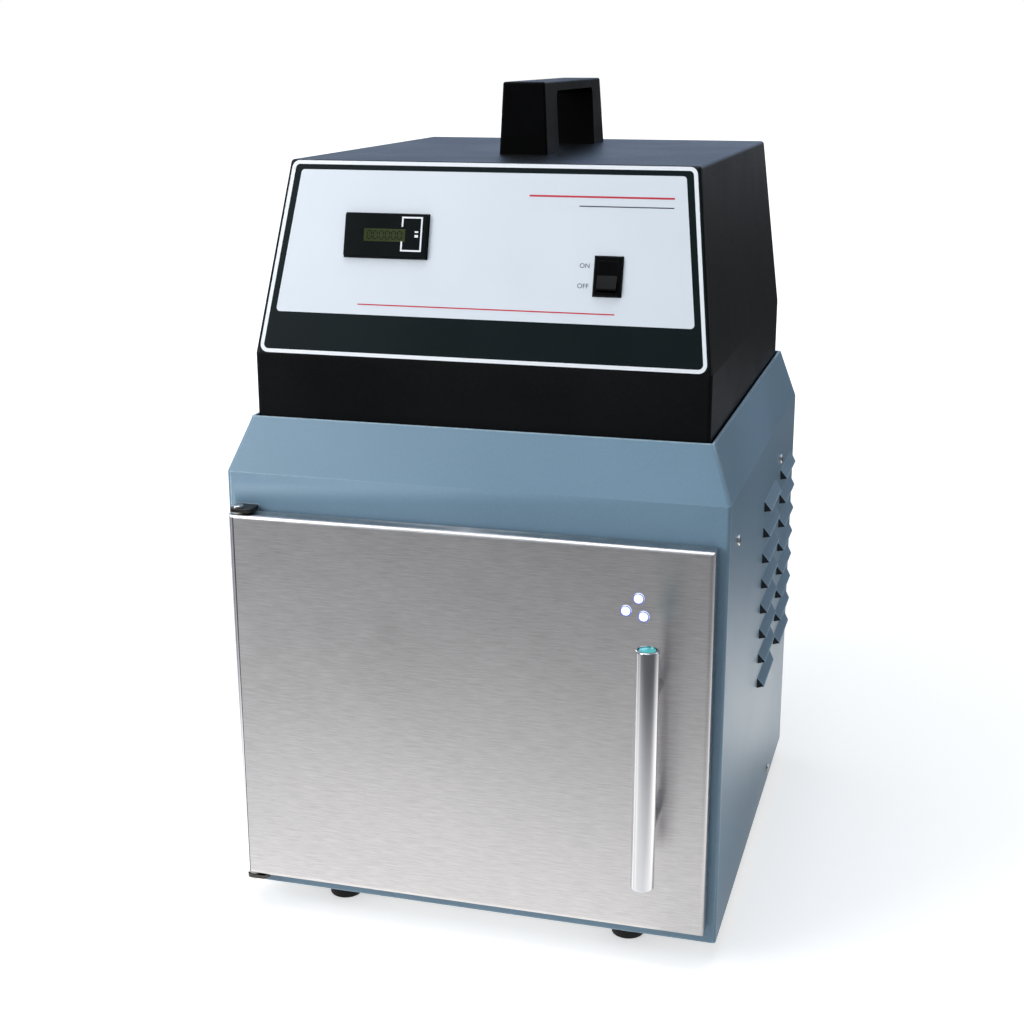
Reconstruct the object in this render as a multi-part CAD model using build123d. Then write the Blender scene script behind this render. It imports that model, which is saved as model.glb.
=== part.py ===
from build123d import *
import math
import os

os.makedirs("parts", exist_ok=True)

# A bench-top curing cabinet with a side-hinged door and a lift-off lamp head, in millimetres.
# Pieces are drawn with X across the front, Y from the cabinet's front face towards the back,
# and Z up from the cabinet's underside. save() then moves each one so that the origin is
# at the centre of the bounding box, on the surface under the feet.

# Cabinet shell
cabinet_width = 287.0
cabinet_depth = 298.0
wall_height = 255.5
shoulder_rise = 30.5
shoulder_inset = 11.6
cabinet_sheet = 1.2
corner_radius = 2.0
corner_seam = 3.2
seam_gap = 0.1
hem_drop = 10.0
flange_width = 12.0
rear_sheet = 1.5
vent_width = 4.0
vent_pitch = 9.0
rear_vent_columns = 7
rear_vent_start = 35.6
rear_vent_height = 46.0
rear_vent_rise = 62.0

# Feet
foot_height = 14.0
foot_radius = 11.0
foot_tip_radius = 9.6
foot_side_inset = 55.0
foot_end_inset = 24.0
foot_edge = 1.2
foot_recess_radius = 4.8
foot_recess_depth = 7.0
foot_screw_radius = 2.0
foot_screw_head_radius = 3.8
foot_screw_head_height = 2.0
foot_nut_radius = 3.8
foot_nut_height = 3.0
foot_screw_tail = 1.0

# Chamber inside the cabinet
side_space = 26.5
back_space = 47.6
liner_sheet = 1.0
work_plate_top = 18.0
work_plate_sheet = 2.0
pan_flange_height = 15.0
opening_top_margin = 17.2
deck_drop = 3.0
deck_sheet = 1.5
deck_flange_height = 30.0
deck_rear_gap = 6.0
liner_slot_start = 50.0
liner_slot_pitch = 26.0
liner_slot_length = 15.6
liner_slot_height = 4.0
liner_slot_drop = 12.0

# Louvres in the side panels
louvre_length = 56.0
louvre_rows = 8
louvre_pitch = 16.45
louvre_rise = 6.6
louvre_reach = 4.2
louvre_nose = 3.4
louvre_top_drop = 42.0
louvre_columns = 2
louvre_column_pitch = 81.0
louvre_rear_margin = 16.0

# Door
door_side_margin = 5.3
door_top_margin = 21.4
door_low = 10.0
door_thickness = 11.0
door_gap = 2.0
door_sheet = 1.2
door_radius = 2.8
door_inner_sheet = 1.0
spacer_width = 10.0
spacer_hinge_inset = 24.0
spacer_pull_inset = 12.0
spacer_end_inset = 15.0

# Pivots of the door
pivot_inset = 4.4
pivot_back = 6.0
pin_radius = 2.0
pin_clearance = 0.05
pin_head_radius = 3.4
pin_head_height = 1.6
pin_head_edge = 1.1
pin_reach = 7.0
bracket_width = 13.0
bracket_outset = -0.2
bracket_thickness = 2.0
bracket_leg = 15.0
bracket_gap = 1.0
bracket_setback = 1.0
bracket_corner = 3.0
bracket_screw_pitch = 6.4
bracket_screw_drop = 9.3
bush_flange = 0.7
bush_flange_lip = 0.4
bush_wall = 1.0
bush_length = 6.2

# Light seal, catch and interlock behind the door
seal_inset = 1.5
seal_width = 7.0
rest_gap = 0.3
catch_inset = 12.0
magnet_radius = 4.5
magnet_length = 9.0
magnet_collar_lip = 1.6
magnet_collar_length = 2.0
strike_radius = 6.0
catch_low_inset = 52.0
catch_high_inset = 59.2
interlock_inset = 23.2
plunger_radius = 2.0
plunger_length = 16.0
plunger_edge = 0.8
switch_block = (14.0, 22.0, 12.0)
switch_block_edge = 1.0

# Bar pull on the door
pull_radius = 6.35
pull_length = 136.0
pull_drop = 1.75
pull_side_inset = 29.2
pull_projection = 35.0
pull_post_pitch = 76.0
pull_post_radius = 4.0
pull_bore_radius = 5.0
pull_bore_depth = 12.0
pull_edge = 0.8
pull_screw_radius = 2.0
pull_screw_entry = 9.0
pull_screw_head_radius = 3.8
pull_screw_head_height = 2.0

# Round viewing windows in the door, measured from the door's right and top edges
window_radius = 2.6
window_flange = 0.8
window_edge = 0.4
window_places = ((39.9, 28.4), (46.7, 35.8), (37.0, 38.2))

# Lamp head
rim_side_gap = 2.55
rim_front_gap = 2.9
head_rear_setback = 8.0
head_skirt = 65.7
head_slope_height = 105.3
head_front_lean_deg = 15.25
head_side_lean_deg = 7.35
head_sheet = 1.2
head_radius = 2.2
head_plate = 2.0
head_plate_flange = 12.0
head_vent_columns = 9
head_vent_height = 20.0
head_vent_rise = 18.0
gasket_height = 3.0
gasket_width = 15.0
gasket_inset = 2.0

# Light path
aperture = 150.0
aperture_margin = 1.0
window_overlap = 8.0
window_sheet = 3.0
retainer_sheet = 1.2
retainer_lap = 6.0
reflector_height = 82.0
reflector_top = 58.0
reflector_sheet = 0.8
reflector_flange = 8.0
bulb_radius = 20.0
bulb_neck_radius = 13.0
bulb_length = 62.0
neck_entry = 13.0
neck_clearance = 2.0
socket_radius = 18.0
socket_height = 40.0
socket_edge = 2.0
bracket_strip = 30.0
bracket_sheet = 1.5
bracket_side_gap = 12.0
bracket_toe = 10.0

# Printed label on the sloping front
label_sheet = 0.4
label_side_margin = 1.3
label_end_margin = 0.7
label_corner = 4.5

# Hour meter on the label, placed from the middle of the fold and up the slope
meter_size = (48.0, 24.0)
meter_place = (-55.6, 67.8)
meter_body = (44.6, 21.6)
meter_depth = 38.0
meter_proud = 2.6
meter_corner = 1.2
bezel_edge = 0.5
display_size = (24.2, 7.2)
display_offset = (-0.45, 0.05)
display_sheet = 0.6

# Rocker switches
switch_size = (15.0, 21.0)
switch_place = (70.2, 49.8)
switch_body = (13.0, 19.2)
switch_depth = 20.0
switch_proud = 1.8
switch_corner = 1.5
rocker_size = (10.6, 16.6)
rocker_clearance = 0.25
rocker_tilt_deg = 9.0
rocker_crown = 3.4
rocker_dip = 1.3
rocker_root = 3.0
rocker_taper = 1.2
rocker_edge = 0.5
rocker_pin_radius = 1.2
rocker_pin_entry = 0.6
pocket_depth = 8.5

# Carrying handle
handle_setback = 97.5
handle_length = 147.0
handle_width = 29.0
handle_rise = 40.8
handle_top_width = 24.8
handle_front_draft = 1.0
handle_rear_draft = 5.0
handle_grip = 5.4
handle_leg = 27.5
handle_radius = 1.3
handle_gap_radius = 4.0

# Electrical pieces in the head
ballast_size = (88.0, 48.0, 66.0)
ballast_side_gap = 11.35
ballast_winding = (44.0, 60.0, 46.0)
ballast_edge = 1.5
winding_corner = 6.0
igniter_size = (56.0, 32.0, 36.0)
igniter_left = 14.0
igniter_corner = 3.0
capacitor_radius = 19.0
capacitor_height = 72.0
capacitor_side_gap = 27.35
capacitor_edge = 2.0
capacitor_tab = (6.0, 0.8, 9.0)
parts_gap = 3.0

# Fan in the rear of the head
fan_size = 80.0
fan_depth = 25.4
fan_corner = 3.5
fan_side_gap = 69.35
fan_rise = 24.5
fan_bore = 38.0
fan_hole_pitch = 71.5
fan_screw_radius = 2.1
fan_screw_head_radius = 3.6
fan_screw_length = 12.0
rotor_radius = 36.5
hub_radius = 17.0
hub_gap = 1.0
hub_edge = 2.0
rotor_depth = 17.0
blade_count = 7
blade_sheet = 1.4
blade_depth = 14.0
blade_root = 3.0
blade_twist_deg = 38.0
axle_radius = 1.6
axle_entry = 1.6
cup_depth = 4.0
cup_gap = 1.0
strut_width = 3.0
guard_wire = 1.1
guard_rings = 4
guard_eye = 2.0

# Power entry in the rear of the head
entry_rise = 28.5
inlet_side_gap = 45.35
inlet_flange = (48.0, 22.6)
inlet_flange_sheet = 2.0
inlet_flange_corner = 5.0
inlet_body = (28.0, 20.0)
inlet_depth = 22.0
inlet_socket = (24.0, 16.8)
inlet_socket_depth = 15.0
inlet_socket_chamfer = 4.0
inlet_pin = (2.0, 4.0)
inlet_pin_recess = 5.5
inlet_pin_spread = 7.0
inlet_pin_rise = 2.0
mains_spacing = 46.0
fuse_spacing = 76.0
fuse_radius = 6.2
fuse_cap_radius = 8.0
fuse_cap_height = 6.0
fuse_cap_edge = 1.2
fuse_slot = (1.6, 1.2)
fuse_depth = 28.0

# Screws
screw_head_radius = 3.1
screw_head_height = 1.6
screw_head_edge = 1.0
screw_radius = 1.5
screw_length = 8.0
short_screw_length = 4.0
screw_slot = (3.7, 0.7)
side_screw_front = 30.0
side_screw_rear = 78.0
side_screw_drop = 23.4
side_screw_rise = 10.1
rear_screw_rise = 30.0
rear_screw_drop = 29.5
head_screw_rise = 18.2
head_screw_drop = 5.5

# Free space beside a piece, and how far a cutting shape runs past what it cuts
clearance = 1.0
over = 1.0
cut = 5.0

# Places worked out from the sizes above
cabinet_half = cabinet_width / 2
cabinet_top = wall_height + shoulder_rise
shoulder_lean = shoulder_inset / shoulder_rise
inner_half = cabinet_half - cabinet_sheet
front_reach = door_gap + door_thickness + pull_projection
rear_reach = cabinet_depth + screw_head_height
front_face = (front_reach - rear_reach) / 2

pan_low = cabinet_sheet + seam_gap
pan_top = pan_low + cabinet_sheet
deck_top = wall_height - deck_drop
deck_low = deck_top - deck_sheet
chamber_half = cabinet_half - side_space
chamber_front = cabinet_sheet + 2 * seam_gap
chamber_rear = cabinet_depth - back_space
chamber_depth = chamber_rear - chamber_front
lamp_center = (chamber_front + chamber_rear) / 2

louvre_starts = [
    cabinet_depth - louvre_rear_margin - louvre_length - column * louvre_column_pitch
    for column in range(louvre_columns)
]
louvre_first_low = wall_height - louvre_top_drop
louvre_wall = cabinet_sheet * math.hypot(1, louvre_nose / louvre_reach)
side_screw_places = (
    (side_screw_front, deck_top - side_screw_drop),
    (cabinet_depth - side_screw_rear, deck_top - side_screw_drop),
    (cabinet_depth - side_screw_rear, side_screw_rise),
)
rear_screw_high = wall_height - rear_screw_drop
rear_screw_heights = (rear_screw_rise, (rear_screw_rise + rear_screw_high) / 2, rear_screw_high)

door_half = cabinet_half - door_side_margin
door_high = wall_height - door_top_margin
opening_low = work_plate_top
opening_high = door_high - opening_top_margin
door_back = -door_gap
door_face = door_back - door_thickness
door_inner_face = door_back - door_inner_sheet
pivot_x = -door_half + pivot_inset
pivot_y = door_back - pivot_back
catch_x = cabinet_half - catch_inset
catch_low = door_low + catch_low_inset
catch_high = door_high - catch_high_inset
interlock_height = door_high - interlock_inset
pull_center_height = (door_low + door_high) / 2 - pull_drop

head_half = cabinet_half - shoulder_inset - rim_side_gap
head_front = shoulder_inset + rim_front_gap
head_rear = cabinet_depth - head_rear_setback
head_low = deck_top + gasket_height + rest_gap
head_fold = head_low + head_skirt
head_top = head_fold + head_slope_height
front_lean_angle = math.radians(head_front_lean_deg)
front_lean = math.tan(front_lean_angle)
side_lean = math.tan(math.radians(head_side_lean_deg))
head_plate_top = head_low + head_plate
head_inner_rear = head_rear - rear_sheet
head_screw_heights = (head_plate_top + head_screw_rise, head_fold - head_screw_drop)
handle_front = head_front + handle_setback
ballast_left = -head_half + ballast_side_gap
capacitor_x = head_half - capacitor_side_gap
fan_x = head_half - fan_side_gap
fan_z = head_fold + fan_rise
entry_z = head_fold + entry_rise
inlet_x = -head_half + inlet_side_gap
mains_x = inlet_x + mains_spacing
fuse_x = inlet_x + fuse_spacing
aperture_half = aperture / 2
retainer_reach = aperture_half + window_overlap + seam_gap + retainer_lap
parts_front = lamp_center + retainer_reach + parts_gap
deck_hole_half = aperture_half + window_overlap / 2
window_low = head_plate_top
window_high = window_low + window_sheet
retainer_high = window_high + retainer_sheet
reflector_low = retainer_high
reflector_high = reflector_low + reflector_height
socket_low = reflector_high + reflector_sheet
socket_high = socket_low + socket_height

slope_plane = Plane(
    origin=(0, head_front, head_fold),
    x_dir=(1, 0, 0),
    z_dir=(0, -math.cos(front_lean_angle), math.sin(front_lean_angle)),
)
rear_plane = Plane(origin=(0, head_rear, 0), x_dir=(-1, 0, 0), z_dir=(0, 1, 0))
slope_length = (head_top - head_fold) / math.cos(front_lean_angle)


def save(name, shape):
    """Moves a piece to the part's origin and writes its STEP file."""
    placed = Pos(0, front_face, foot_height) * shape
    export_step(placed, f"parts/{name}.step")


def block(x, y, z):
    """A box between a low and a high value on each axis."""
    size = Box(x[1] - x[0], y[1] - y[0], z[1] - z[0])
    return Pos((x[0] + x[1]) / 2, (y[0] + y[1]) / 2, (z[0] + z[1]) / 2) * size


def side_block(side, near, far, y, z):
    """A box on one side of the middle, between two distances from it."""
    return block(sorted((side * near, side * far)), y, z)


def lamp_square(reach, z):
    """A square box about the lamp's centre line."""
    return block((-reach, reach), (lamp_center - reach, lamp_center + reach), z)


def rod_x(x, y, z, radius):
    """A cylinder along X between two values."""
    return Pos((x[0] + x[1]) / 2, y, z) * Rot(0, 90, 0) * Cylinder(radius, x[1] - x[0])


def rod_y(x, y, z, radius):
    """A cylinder along Y between two values."""
    return Pos(x, (y[0] + y[1]) / 2, z) * Rot(90, 0, 0) * Cylinder(radius, y[1] - y[0])


def rod_z(x, y, z, radius):
    """A cylinder along Z between two values."""
    return Pos(x, y, (z[0] + z[1]) / 2) * Cylinder(radius, z[1] - z[0])


def group(shapes):
    """Separate solids kept together as one piece's set."""
    return Compound([solid for shape in shapes for solid in shape.solids()])


def mirrored(shape):
    """The same piece on the other side of the middle."""
    return mirror(shape, about=Plane.YZ)


def prism_y(points, y):
    """An outline of (x, z) points, stretched along Y."""
    outline = Plane.XZ * Polygon(*points, align=None)
    return Pos(0, y[0], 0) * extrude(outline, amount=y[1] - y[0], dir=(0, 1, 0))


def prism_z(points, z):
    """An outline of (x, y) points, stretched along Z."""
    outline = Plane.XY * Polygon(*points, align=None)
    return Pos(0, 0, z[0]) * extrude(outline, amount=z[1] - z[0], dir=(0, 0, 1))


def prism_x(points, x):
    """An outline of (y, z) points, stretched along X."""
    outline = Plane.YZ * Polygon(*points, align=None)
    return Pos(x[0], 0, 0) * extrude(outline, amount=x[1] - x[0], dir=(1, 0, 0))


def leaning_body(half, front, rear, low, fold, top, side, face, wall=0.0):
    """A box whose sides and front lean inwards above a fold. A wall moves every leaning face inwards."""
    side_angle = math.atan(side)
    face_angle = math.atan(face)
    side_fold = fold - wall * math.tan(side_angle / 2)
    face_fold = fold - wall * math.tan(face_angle / 2)
    half_in = half - wall
    half_top = half - side * (top - fold) - wall / math.cos(side_angle)
    front_in = front + wall
    front_top = front + face * (top - fold) + wall / math.cos(face_angle)
    right = [(half_in, low), (half_in, side_fold), (half_top, top)]
    left = [(-x, z) for x, z in reversed(right)]
    across = prism_y(right + left, (front_in, rear))
    along = prism_x(
        [(front_in, low), (rear, low), (rear, top), (front_top, top), (front_in, face_fold)],
        (-half_in, half_in),
    )
    return across & along


def front_corner_edges(body, behind):
    """The edges of a leaning body that run up its two front corners."""
    rising = [edge for edge in body.edges() if edge.bounding_box().size.Z > cut]
    return [edge for edge in rising if edge.center().Y < behind]


def upright_slots(places, width, y, height):
    """Upright slots with round ends through a sheet that faces along Y."""
    found = []
    for x, z in places:
        outline = Plane.XZ * Pos(x, z) * SlotOverall(height, width, rotation=90)
        found.append(Pos(0, y[0], 0) * extrude(outline, amount=y[1] - y[0], dir=(0, 1, 0)))
    return found


def pan_screw(length=screw_length):
    """A screw whose round head stands on the XY plane and whose shank goes down."""
    head = Pos(0, 0, screw_head_height / 2) * Cylinder(screw_head_radius, screw_head_height)
    head = fillet(head.edges().group_by(Axis.Z)[-1], screw_head_edge)
    bar = Box(*screw_slot, screw_head_height)
    cross = Pos(0, 0, screw_head_height) * (bar + Rot(0, 0, 90) * bar)
    shank = Pos(0, 0, -length / 2) * Cylinder(screw_radius, length)
    return head + shank - cross


def screws_at(locations, length=screw_length):
    """One group of equal screws, each standing on the plane of its location."""
    return group([location * pan_screw(length) for location in locations])


def facing_x(y, z, sign):
    """A place on the outside of a side panel, facing outwards."""
    plane = Plane(origin=(sign * cabinet_half, y, z), x_dir=(0, sign, 0), z_dir=(sign, 0, 0))
    return plane.location


def facing_back(x, y, z):
    """A place on a surface that faces the back."""
    return Plane(origin=(x, y, z), x_dir=(-1, 0, 0), z_dir=(0, 1, 0)).location


def facing_down(x, y, z):
    """A place on a surface that faces down."""
    return Plane(origin=(x, y, z), x_dir=(1, 0, 0), z_dir=(0, 0, -1)).location


def cabinet_shell():
    """The painted sheet around the cabinet, open below, above and behind."""
    outer = leaning_body(
        cabinet_half, 0, cabinet_depth, 0, wall_height, cabinet_top, shoulder_lean, shoulder_lean
    )
    outer = fillet(front_corner_edges(outer, cabinet_depth / 2), corner_radius)
    inner = leaning_body(
        cabinet_half, 0, cabinet_depth + cut, -cut, wall_height, cabinet_top + cut,
        shoulder_lean, shoulder_lean, cabinet_sheet,
    )
    return outer - inner


def corner_region(seam):
    """The space in front of the seams that part the front sheet from the side sheets."""
    reach = shoulder_inset + corner_seam + cut
    points = [
        (-cabinet_half - cut, -cut),
        (cabinet_half + cut, -cut),
        (cabinet_half + cut, seam - cut),
        (cabinet_half - reach, seam + reach),
        (-cabinet_half + reach, seam + reach),
        (-cabinet_half - cut, seam - cut),
    ]
    outline = Polygon(*points, align=None)
    return Pos(0, 0, -cut) * extrude(outline, amount=cabinet_top + 2 * cut)


shell = cabinet_shell()


def front_fascia():
    """The front sheet: frame around the opening, leaning top with a hem, and inner flanges."""
    body = shell & corner_region(corner_seam)
    hem_half = cabinet_half - shoulder_inset
    hem = block(
        (-hem_half, hem_half),
        (shoulder_inset, shoulder_inset + cabinet_sheet),
        (cabinet_top - hem_drop, cabinet_top),
    )
    flange_end = foot_end_inset - foot_radius - clearance
    foot_flange = block((-inner_half, inner_half), (0, flange_end), (0, cabinet_sheet))
    flange_out = inner_half - seam_gap
    flange = block(
        (flange_out - cabinet_sheet, flange_out),
        (cabinet_sheet / 2, side_screw_places[0][0] + screw_length),
        (work_plate_top, deck_low - 2 * bracket_gap),
    )
    y, z = side_screw_places[0]
    flange = flange - rod_x((inner_half - cut, inner_half + cut), y, z, screw_radius)
    body = body + hem + foot_flange + flange + mirrored(flange)
    mouth = block((-chamber_half, chamber_half), (-cut, cut), (opening_low, opening_high))
    body = body - mouth
    for height in (catch_low, catch_high):
        body = body - rod_y(catch_x, (-cut, cut), height, magnet_radius + seam_gap)
    body = body - rod_y(catch_x, (-cut, cut), interlock_height, plunger_radius + pin_clearance)
    for low, high in (upper_arm(), lower_arm()):
        slot = block(
            (bracket_left() - seam_gap, bracket_left() + bracket_width + seam_gap),
            (-cut, cabinet_sheet + seam_gap),
            (low - seam_gap, high + seam_gap),
        )
        body = body - slot
    return body


def bracket_left():
    """Where the pivot brackets start on the left."""
    return -door_half - bracket_outset


def upper_arm():
    """Height span of the arm above the door."""
    return (door_high + bracket_gap, door_high + bracket_gap + bracket_thickness)


def lower_arm():
    """Height span of the arm below the door."""
    return (door_low - bracket_gap - bracket_thickness, door_low - bracket_gap)


def louvre(start, low):
    """One pressed louvre: a flap hinged at its top, with a slanted nose at each end and an open underside."""
    end = start + louvre_length
    high = low + louvre_rise
    inner_high = high - cabinet_sheet
    slant = louvre_reach / louvre_rise
    wall = cabinet_sheet * math.hypot(1, slant)
    outer = prism_y(
        [
            (inner_half, low),
            (cabinet_half + louvre_reach, low),
            (cabinet_half, high),
            (inner_half, high),
        ],
        (start, end),
    )
    hollow = prism_y(
        [
            (inner_half - over, low - over),
            (cabinet_half + louvre_reach - wall + over * slant, low - over),
            (cabinet_half - wall + cabinet_sheet * slant, inner_high),
            (inner_half - over, inner_high),
        ],
        (start, end),
    )
    return (outer & louvre_plan(start, end)) - (hollow & louvre_plan(start + louvre_wall, end - louvre_wall))


def louvre_plan(start, end):
    """The space above a louvre's outline as seen from above, tapering outwards at both ends."""
    reach = louvre_reach + over
    nose = louvre_nose * reach / louvre_reach
    points = [
        (inner_half - 2 * over, start),
        (cabinet_half, start),
        (cabinet_half + reach, start + nose),
        (cabinet_half + reach, end - nose),
        (cabinet_half, end),
        (inner_half - 2 * over, end),
    ]
    return prism_z(points, (0, cabinet_top))


def side_panel():
    """The right side sheet with its louvres, a hem at the top and a flange at the back."""
    body = shell - corner_region(corner_seam + seam_gap)
    body = body & block((0, cabinet_half + cut), (0, cabinet_depth), (0, cabinet_top))
    hem_out = cabinet_half - shoulder_inset
    hem_start = corner_seam + shoulder_inset + cabinet_sheet + 2 * seam_gap
    hem = block(
        (hem_out - cabinet_sheet, hem_out),
        (hem_start, cabinet_depth - rear_sheet - seam_gap),
        (cabinet_top - hem_drop, cabinet_top),
    )
    flange_back = cabinet_depth - rear_sheet - seam_gap
    flange = block(
        (inner_half - flange_width, cabinet_half - cabinet_sheet / 2),
        (flange_back - cabinet_sheet, flange_back),
        (pan_low + pan_flange_height + clearance, deck_low - cut),
    )
    body = body + hem + flange
    flaps = []
    holes = []
    for start in louvre_starts:
        for row in range(louvre_rows):
            low = louvre_first_low - row * louvre_pitch
            flaps.append(louvre(start, low))
            holes.append(
                block(
                    (inner_half - over, cabinet_half + over),
                    (start + louvre_wall, start + louvre_length - louvre_wall),
                    (low, low + louvre_rise - cabinet_sheet),
                )
            )
    body = body - group(holes)
    for flap in flaps:
        body = body + flap
    for y, z in side_screw_places:
        body = body - rod_x((inner_half - over, cabinet_half + over), y, z, screw_radius + seam_gap)
    for z in rear_screw_heights:
        hole_x = inner_half - flange_width / 2
        body = body - rod_y(hole_x, (flange_back - cut, flange_back + seam_gap / 2), z, screw_radius)
    return body


def rear_panel():
    """The flat back sheet, set between the side sheets, with two groups of vent slots."""
    fit = cabinet_sheet + seam_gap
    body = leaning_body(
        cabinet_half, 0, cabinet_depth, 0, wall_height, cabinet_top, shoulder_lean, 0, fit
    )
    sheet = (cabinet_depth - rear_sheet, cabinet_depth)
    body = body & block((-cabinet_half, cabinet_half), sheet, (0, cabinet_top))
    through = (cabinet_depth - cut, cabinet_depth + cut)
    places = []
    for side in (-1, 1):
        for column in range(rear_vent_columns):
            x = rear_vent_start + column * vent_pitch
            places.append((side * x, work_plate_top + rear_vent_rise))
    for cutter in upright_slots(places, vent_width, through, rear_vent_height):
        body = body - cutter
    for side in (-1, 1):
        for z in rear_screw_heights:
            hole_x = side * (inner_half - flange_width / 2)
            body = body - rod_y(hole_x, through, z, screw_radius + seam_gap)
    return body


def base_pan():
    """The floor sheet of the cabinet with upturned sides."""
    half = inner_half - seam_gap
    rear = cabinet_depth - rear_sheet - seam_gap
    front = cabinet_sheet + seam_gap
    body = block((-half, half), (front, rear), (pan_low, pan_top))
    flange = (pan_low, pan_low + pan_flange_height)
    for side in (-1, 1):
        body = body + side_block(side, half - cabinet_sheet, half, (front, rear), flange)
    for x, y in foot_places():
        body = body - rod_z(x, y, (pan_low - over, pan_top + over), foot_screw_radius + seam_gap)
    for side in (-1, 1):
        y, z = side_screw_places[2]
        body = body - rod_x((side * half - cut, side * half + cut), y, z, screw_radius)
    return body


def lamp_deck():
    """The sheet that carries the lamp head, with a square light aperture and side flanges."""
    half = inner_half - seam_gap
    span = (cabinet_sheet + seam_gap, cabinet_depth - rear_sheet - deck_rear_gap)
    body = block((-half, half), span, (deck_low, deck_top))
    flange_y = (side_screw_places[0][0] + screw_length + cut, chamber_rear)
    flange_z = (deck_top - deck_flange_height, deck_top)
    for side in (-1, 1):
        body = body + side_block(side, half - cabinet_sheet, half, flange_y, flange_z)
        y, z = side_screw_places[1]
        body = body - rod_x((side * half - cut, side * half + cut), y, z, screw_radius)
    return body - lamp_square(deck_hole_half, (deck_low - over, deck_top + over))


def lamp_gasket():
    """A square foam ring on the deck around the light aperture."""
    inner = deck_hole_half + gasket_inset
    top = deck_top + gasket_height
    body = lamp_square(inner + gasket_width, (deck_top, top))
    return body - lamp_square(inner, (deck_top - over, top + over))


def liner_side():
    """The right chamber wall with a row of air slots near its top."""
    outer = chamber_half + liner_sheet
    body = block((chamber_half, outer), (chamber_front, chamber_rear), (pan_top, deck_low - seam_gap))
    slot_high = deck_low - liner_slot_drop
    for index in range(int((chamber_depth - liner_slot_start) / liner_slot_pitch)):
        y = chamber_front + liner_slot_start + index * liner_slot_pitch
        body = body - block(
            (chamber_half - over, outer + over),
            (y, y + liner_slot_length),
            (slot_high - liner_slot_height, slot_high),
        )
    return body


def liner_rear():
    """The back wall of the chamber."""
    half = chamber_half - seam_gap
    height = (pan_top, deck_low - seam_gap)
    return block((-half, half), (chamber_rear - liner_sheet, chamber_rear), height)


def work_plate():
    """The plate that work is laid on, with skirts that stand on the floor sheet."""
    half = chamber_half - rest_gap
    rear = chamber_rear - liner_sheet - rest_gap
    span = (chamber_front, rear)
    height = (pan_top, work_plate_top)
    body = block((-half, half), span, (work_plate_top - work_plate_sheet, work_plate_top))
    for side in (-1, 1):
        body = body + side_block(side, half - work_plate_sheet, half, span, height)
    lip = block((-half, half), (chamber_front, chamber_front + work_plate_sheet), height)
    return body + lip


def foot_places():
    """Centres of the four feet."""
    x = cabinet_half - foot_side_inset
    return [(sx * x, y) for sx in (-1, 1) for y in (foot_end_inset, cabinet_depth - foot_end_inset)]


def rubber_feet():
    """Four tapered round feet with a screw recess from below."""
    feet = []
    for x, y in foot_places():
        height = foot_height + pan_low
        foot = Pos(x, y, pan_low - height / 2) * Cone(foot_tip_radius, foot_radius, height)
        foot = fillet(foot.edges().group_by(Axis.Z)[0], foot_edge)
        recess = (-foot_height - over, -foot_height + foot_recess_depth)
        foot = foot - rod_z(x, y, recess, foot_recess_radius)
        foot = foot - rod_z(x, y, (-foot_height - over, cut), foot_screw_radius + seam_gap)
        feet.append(foot)
    return group(feet)


def foot_screws():
    """The screws that hold the feet, each with a nut on the floor sheet."""
    found = []
    for x, y in foot_places():
        seat = -foot_height + foot_recess_depth
        head = rod_z(x, y, (seat - foot_screw_head_height, seat), foot_screw_head_radius)
        end = pan_top + foot_nut_height + foot_screw_tail
        shank = rod_z(x, y, (seat, end), foot_screw_radius)
        nut = Pos(x, y, pan_top) * extrude(RegularPolygon(foot_nut_radius, 6), amount=foot_nut_height)
        found.append(head + shank + nut)
    return group(found)


def pivot_bracket(arm, up):
    """An angle whose arm passes through the front sheet and carries a door pivot."""
    low, high = arm
    x = (bracket_left(), bracket_left() + bracket_width)
    leg_back = cabinet_sheet + seam_gap + bracket_thickness
    body = block(x, (door_face + bracket_setback, leg_back), (low, high))
    outline = body.edges().filter_by(Axis.Z).sort_by(Axis.Y)[:2]
    body = fillet(outline, bracket_corner)
    leg = (low, low + bracket_leg) if up else (high - bracket_leg, high)
    body = body + block(x, (cabinet_sheet + seam_gap, leg_back), leg)
    for place in bracket_screw_places():
        body = body - place * Cylinder(screw_radius, 4 * bracket_thickness)
    return body - rod_z(pivot_x, pivot_y, (low - over, high + over), pin_radius)


def hinge_pin(arm, up):
    """A headed pin pressed into a bracket, reaching into the door."""
    low, high = arm
    if up:
        head = rod_z(pivot_x, pivot_y, (high, high + pin_head_height), pin_head_radius)
        head = fillet(head.edges().group_by(Axis.Z)[-1], pin_head_edge)
        return head + rod_z(pivot_x, pivot_y, (low - pin_reach, high), pin_radius)
    head = rod_z(pivot_x, pivot_y, (low - pin_head_height, low), pin_head_radius)
    head = fillet(head.edges().group_by(Axis.Z)[0], pin_head_edge)
    return head + rod_z(pivot_x, pivot_y, (low, high + pin_reach), pin_radius)


def hinge_bush(up):
    """A flanged plastic bush in the door's end, around a pin."""
    outer = pin_radius + bush_wall
    if up:
        flange = rod_z(pivot_x, pivot_y, (door_high, door_high + bush_flange), outer + bush_flange_lip)
        sleeve = rod_z(pivot_x, pivot_y, (door_high - bush_length, door_high), outer)
        bore = (door_high - bush_length - over, door_high + bush_flange + over)
    else:
        flange = rod_z(pivot_x, pivot_y, (door_low - bush_flange, door_low), outer + bush_flange_lip)
        sleeve = rod_z(pivot_x, pivot_y, (door_low, door_low + bush_length), outer)
        bore = (door_low - bush_flange - over, door_low + bush_length + over)
    return flange + sleeve - rod_z(pivot_x, pivot_y, bore, pin_radius + pin_clearance)


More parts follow.
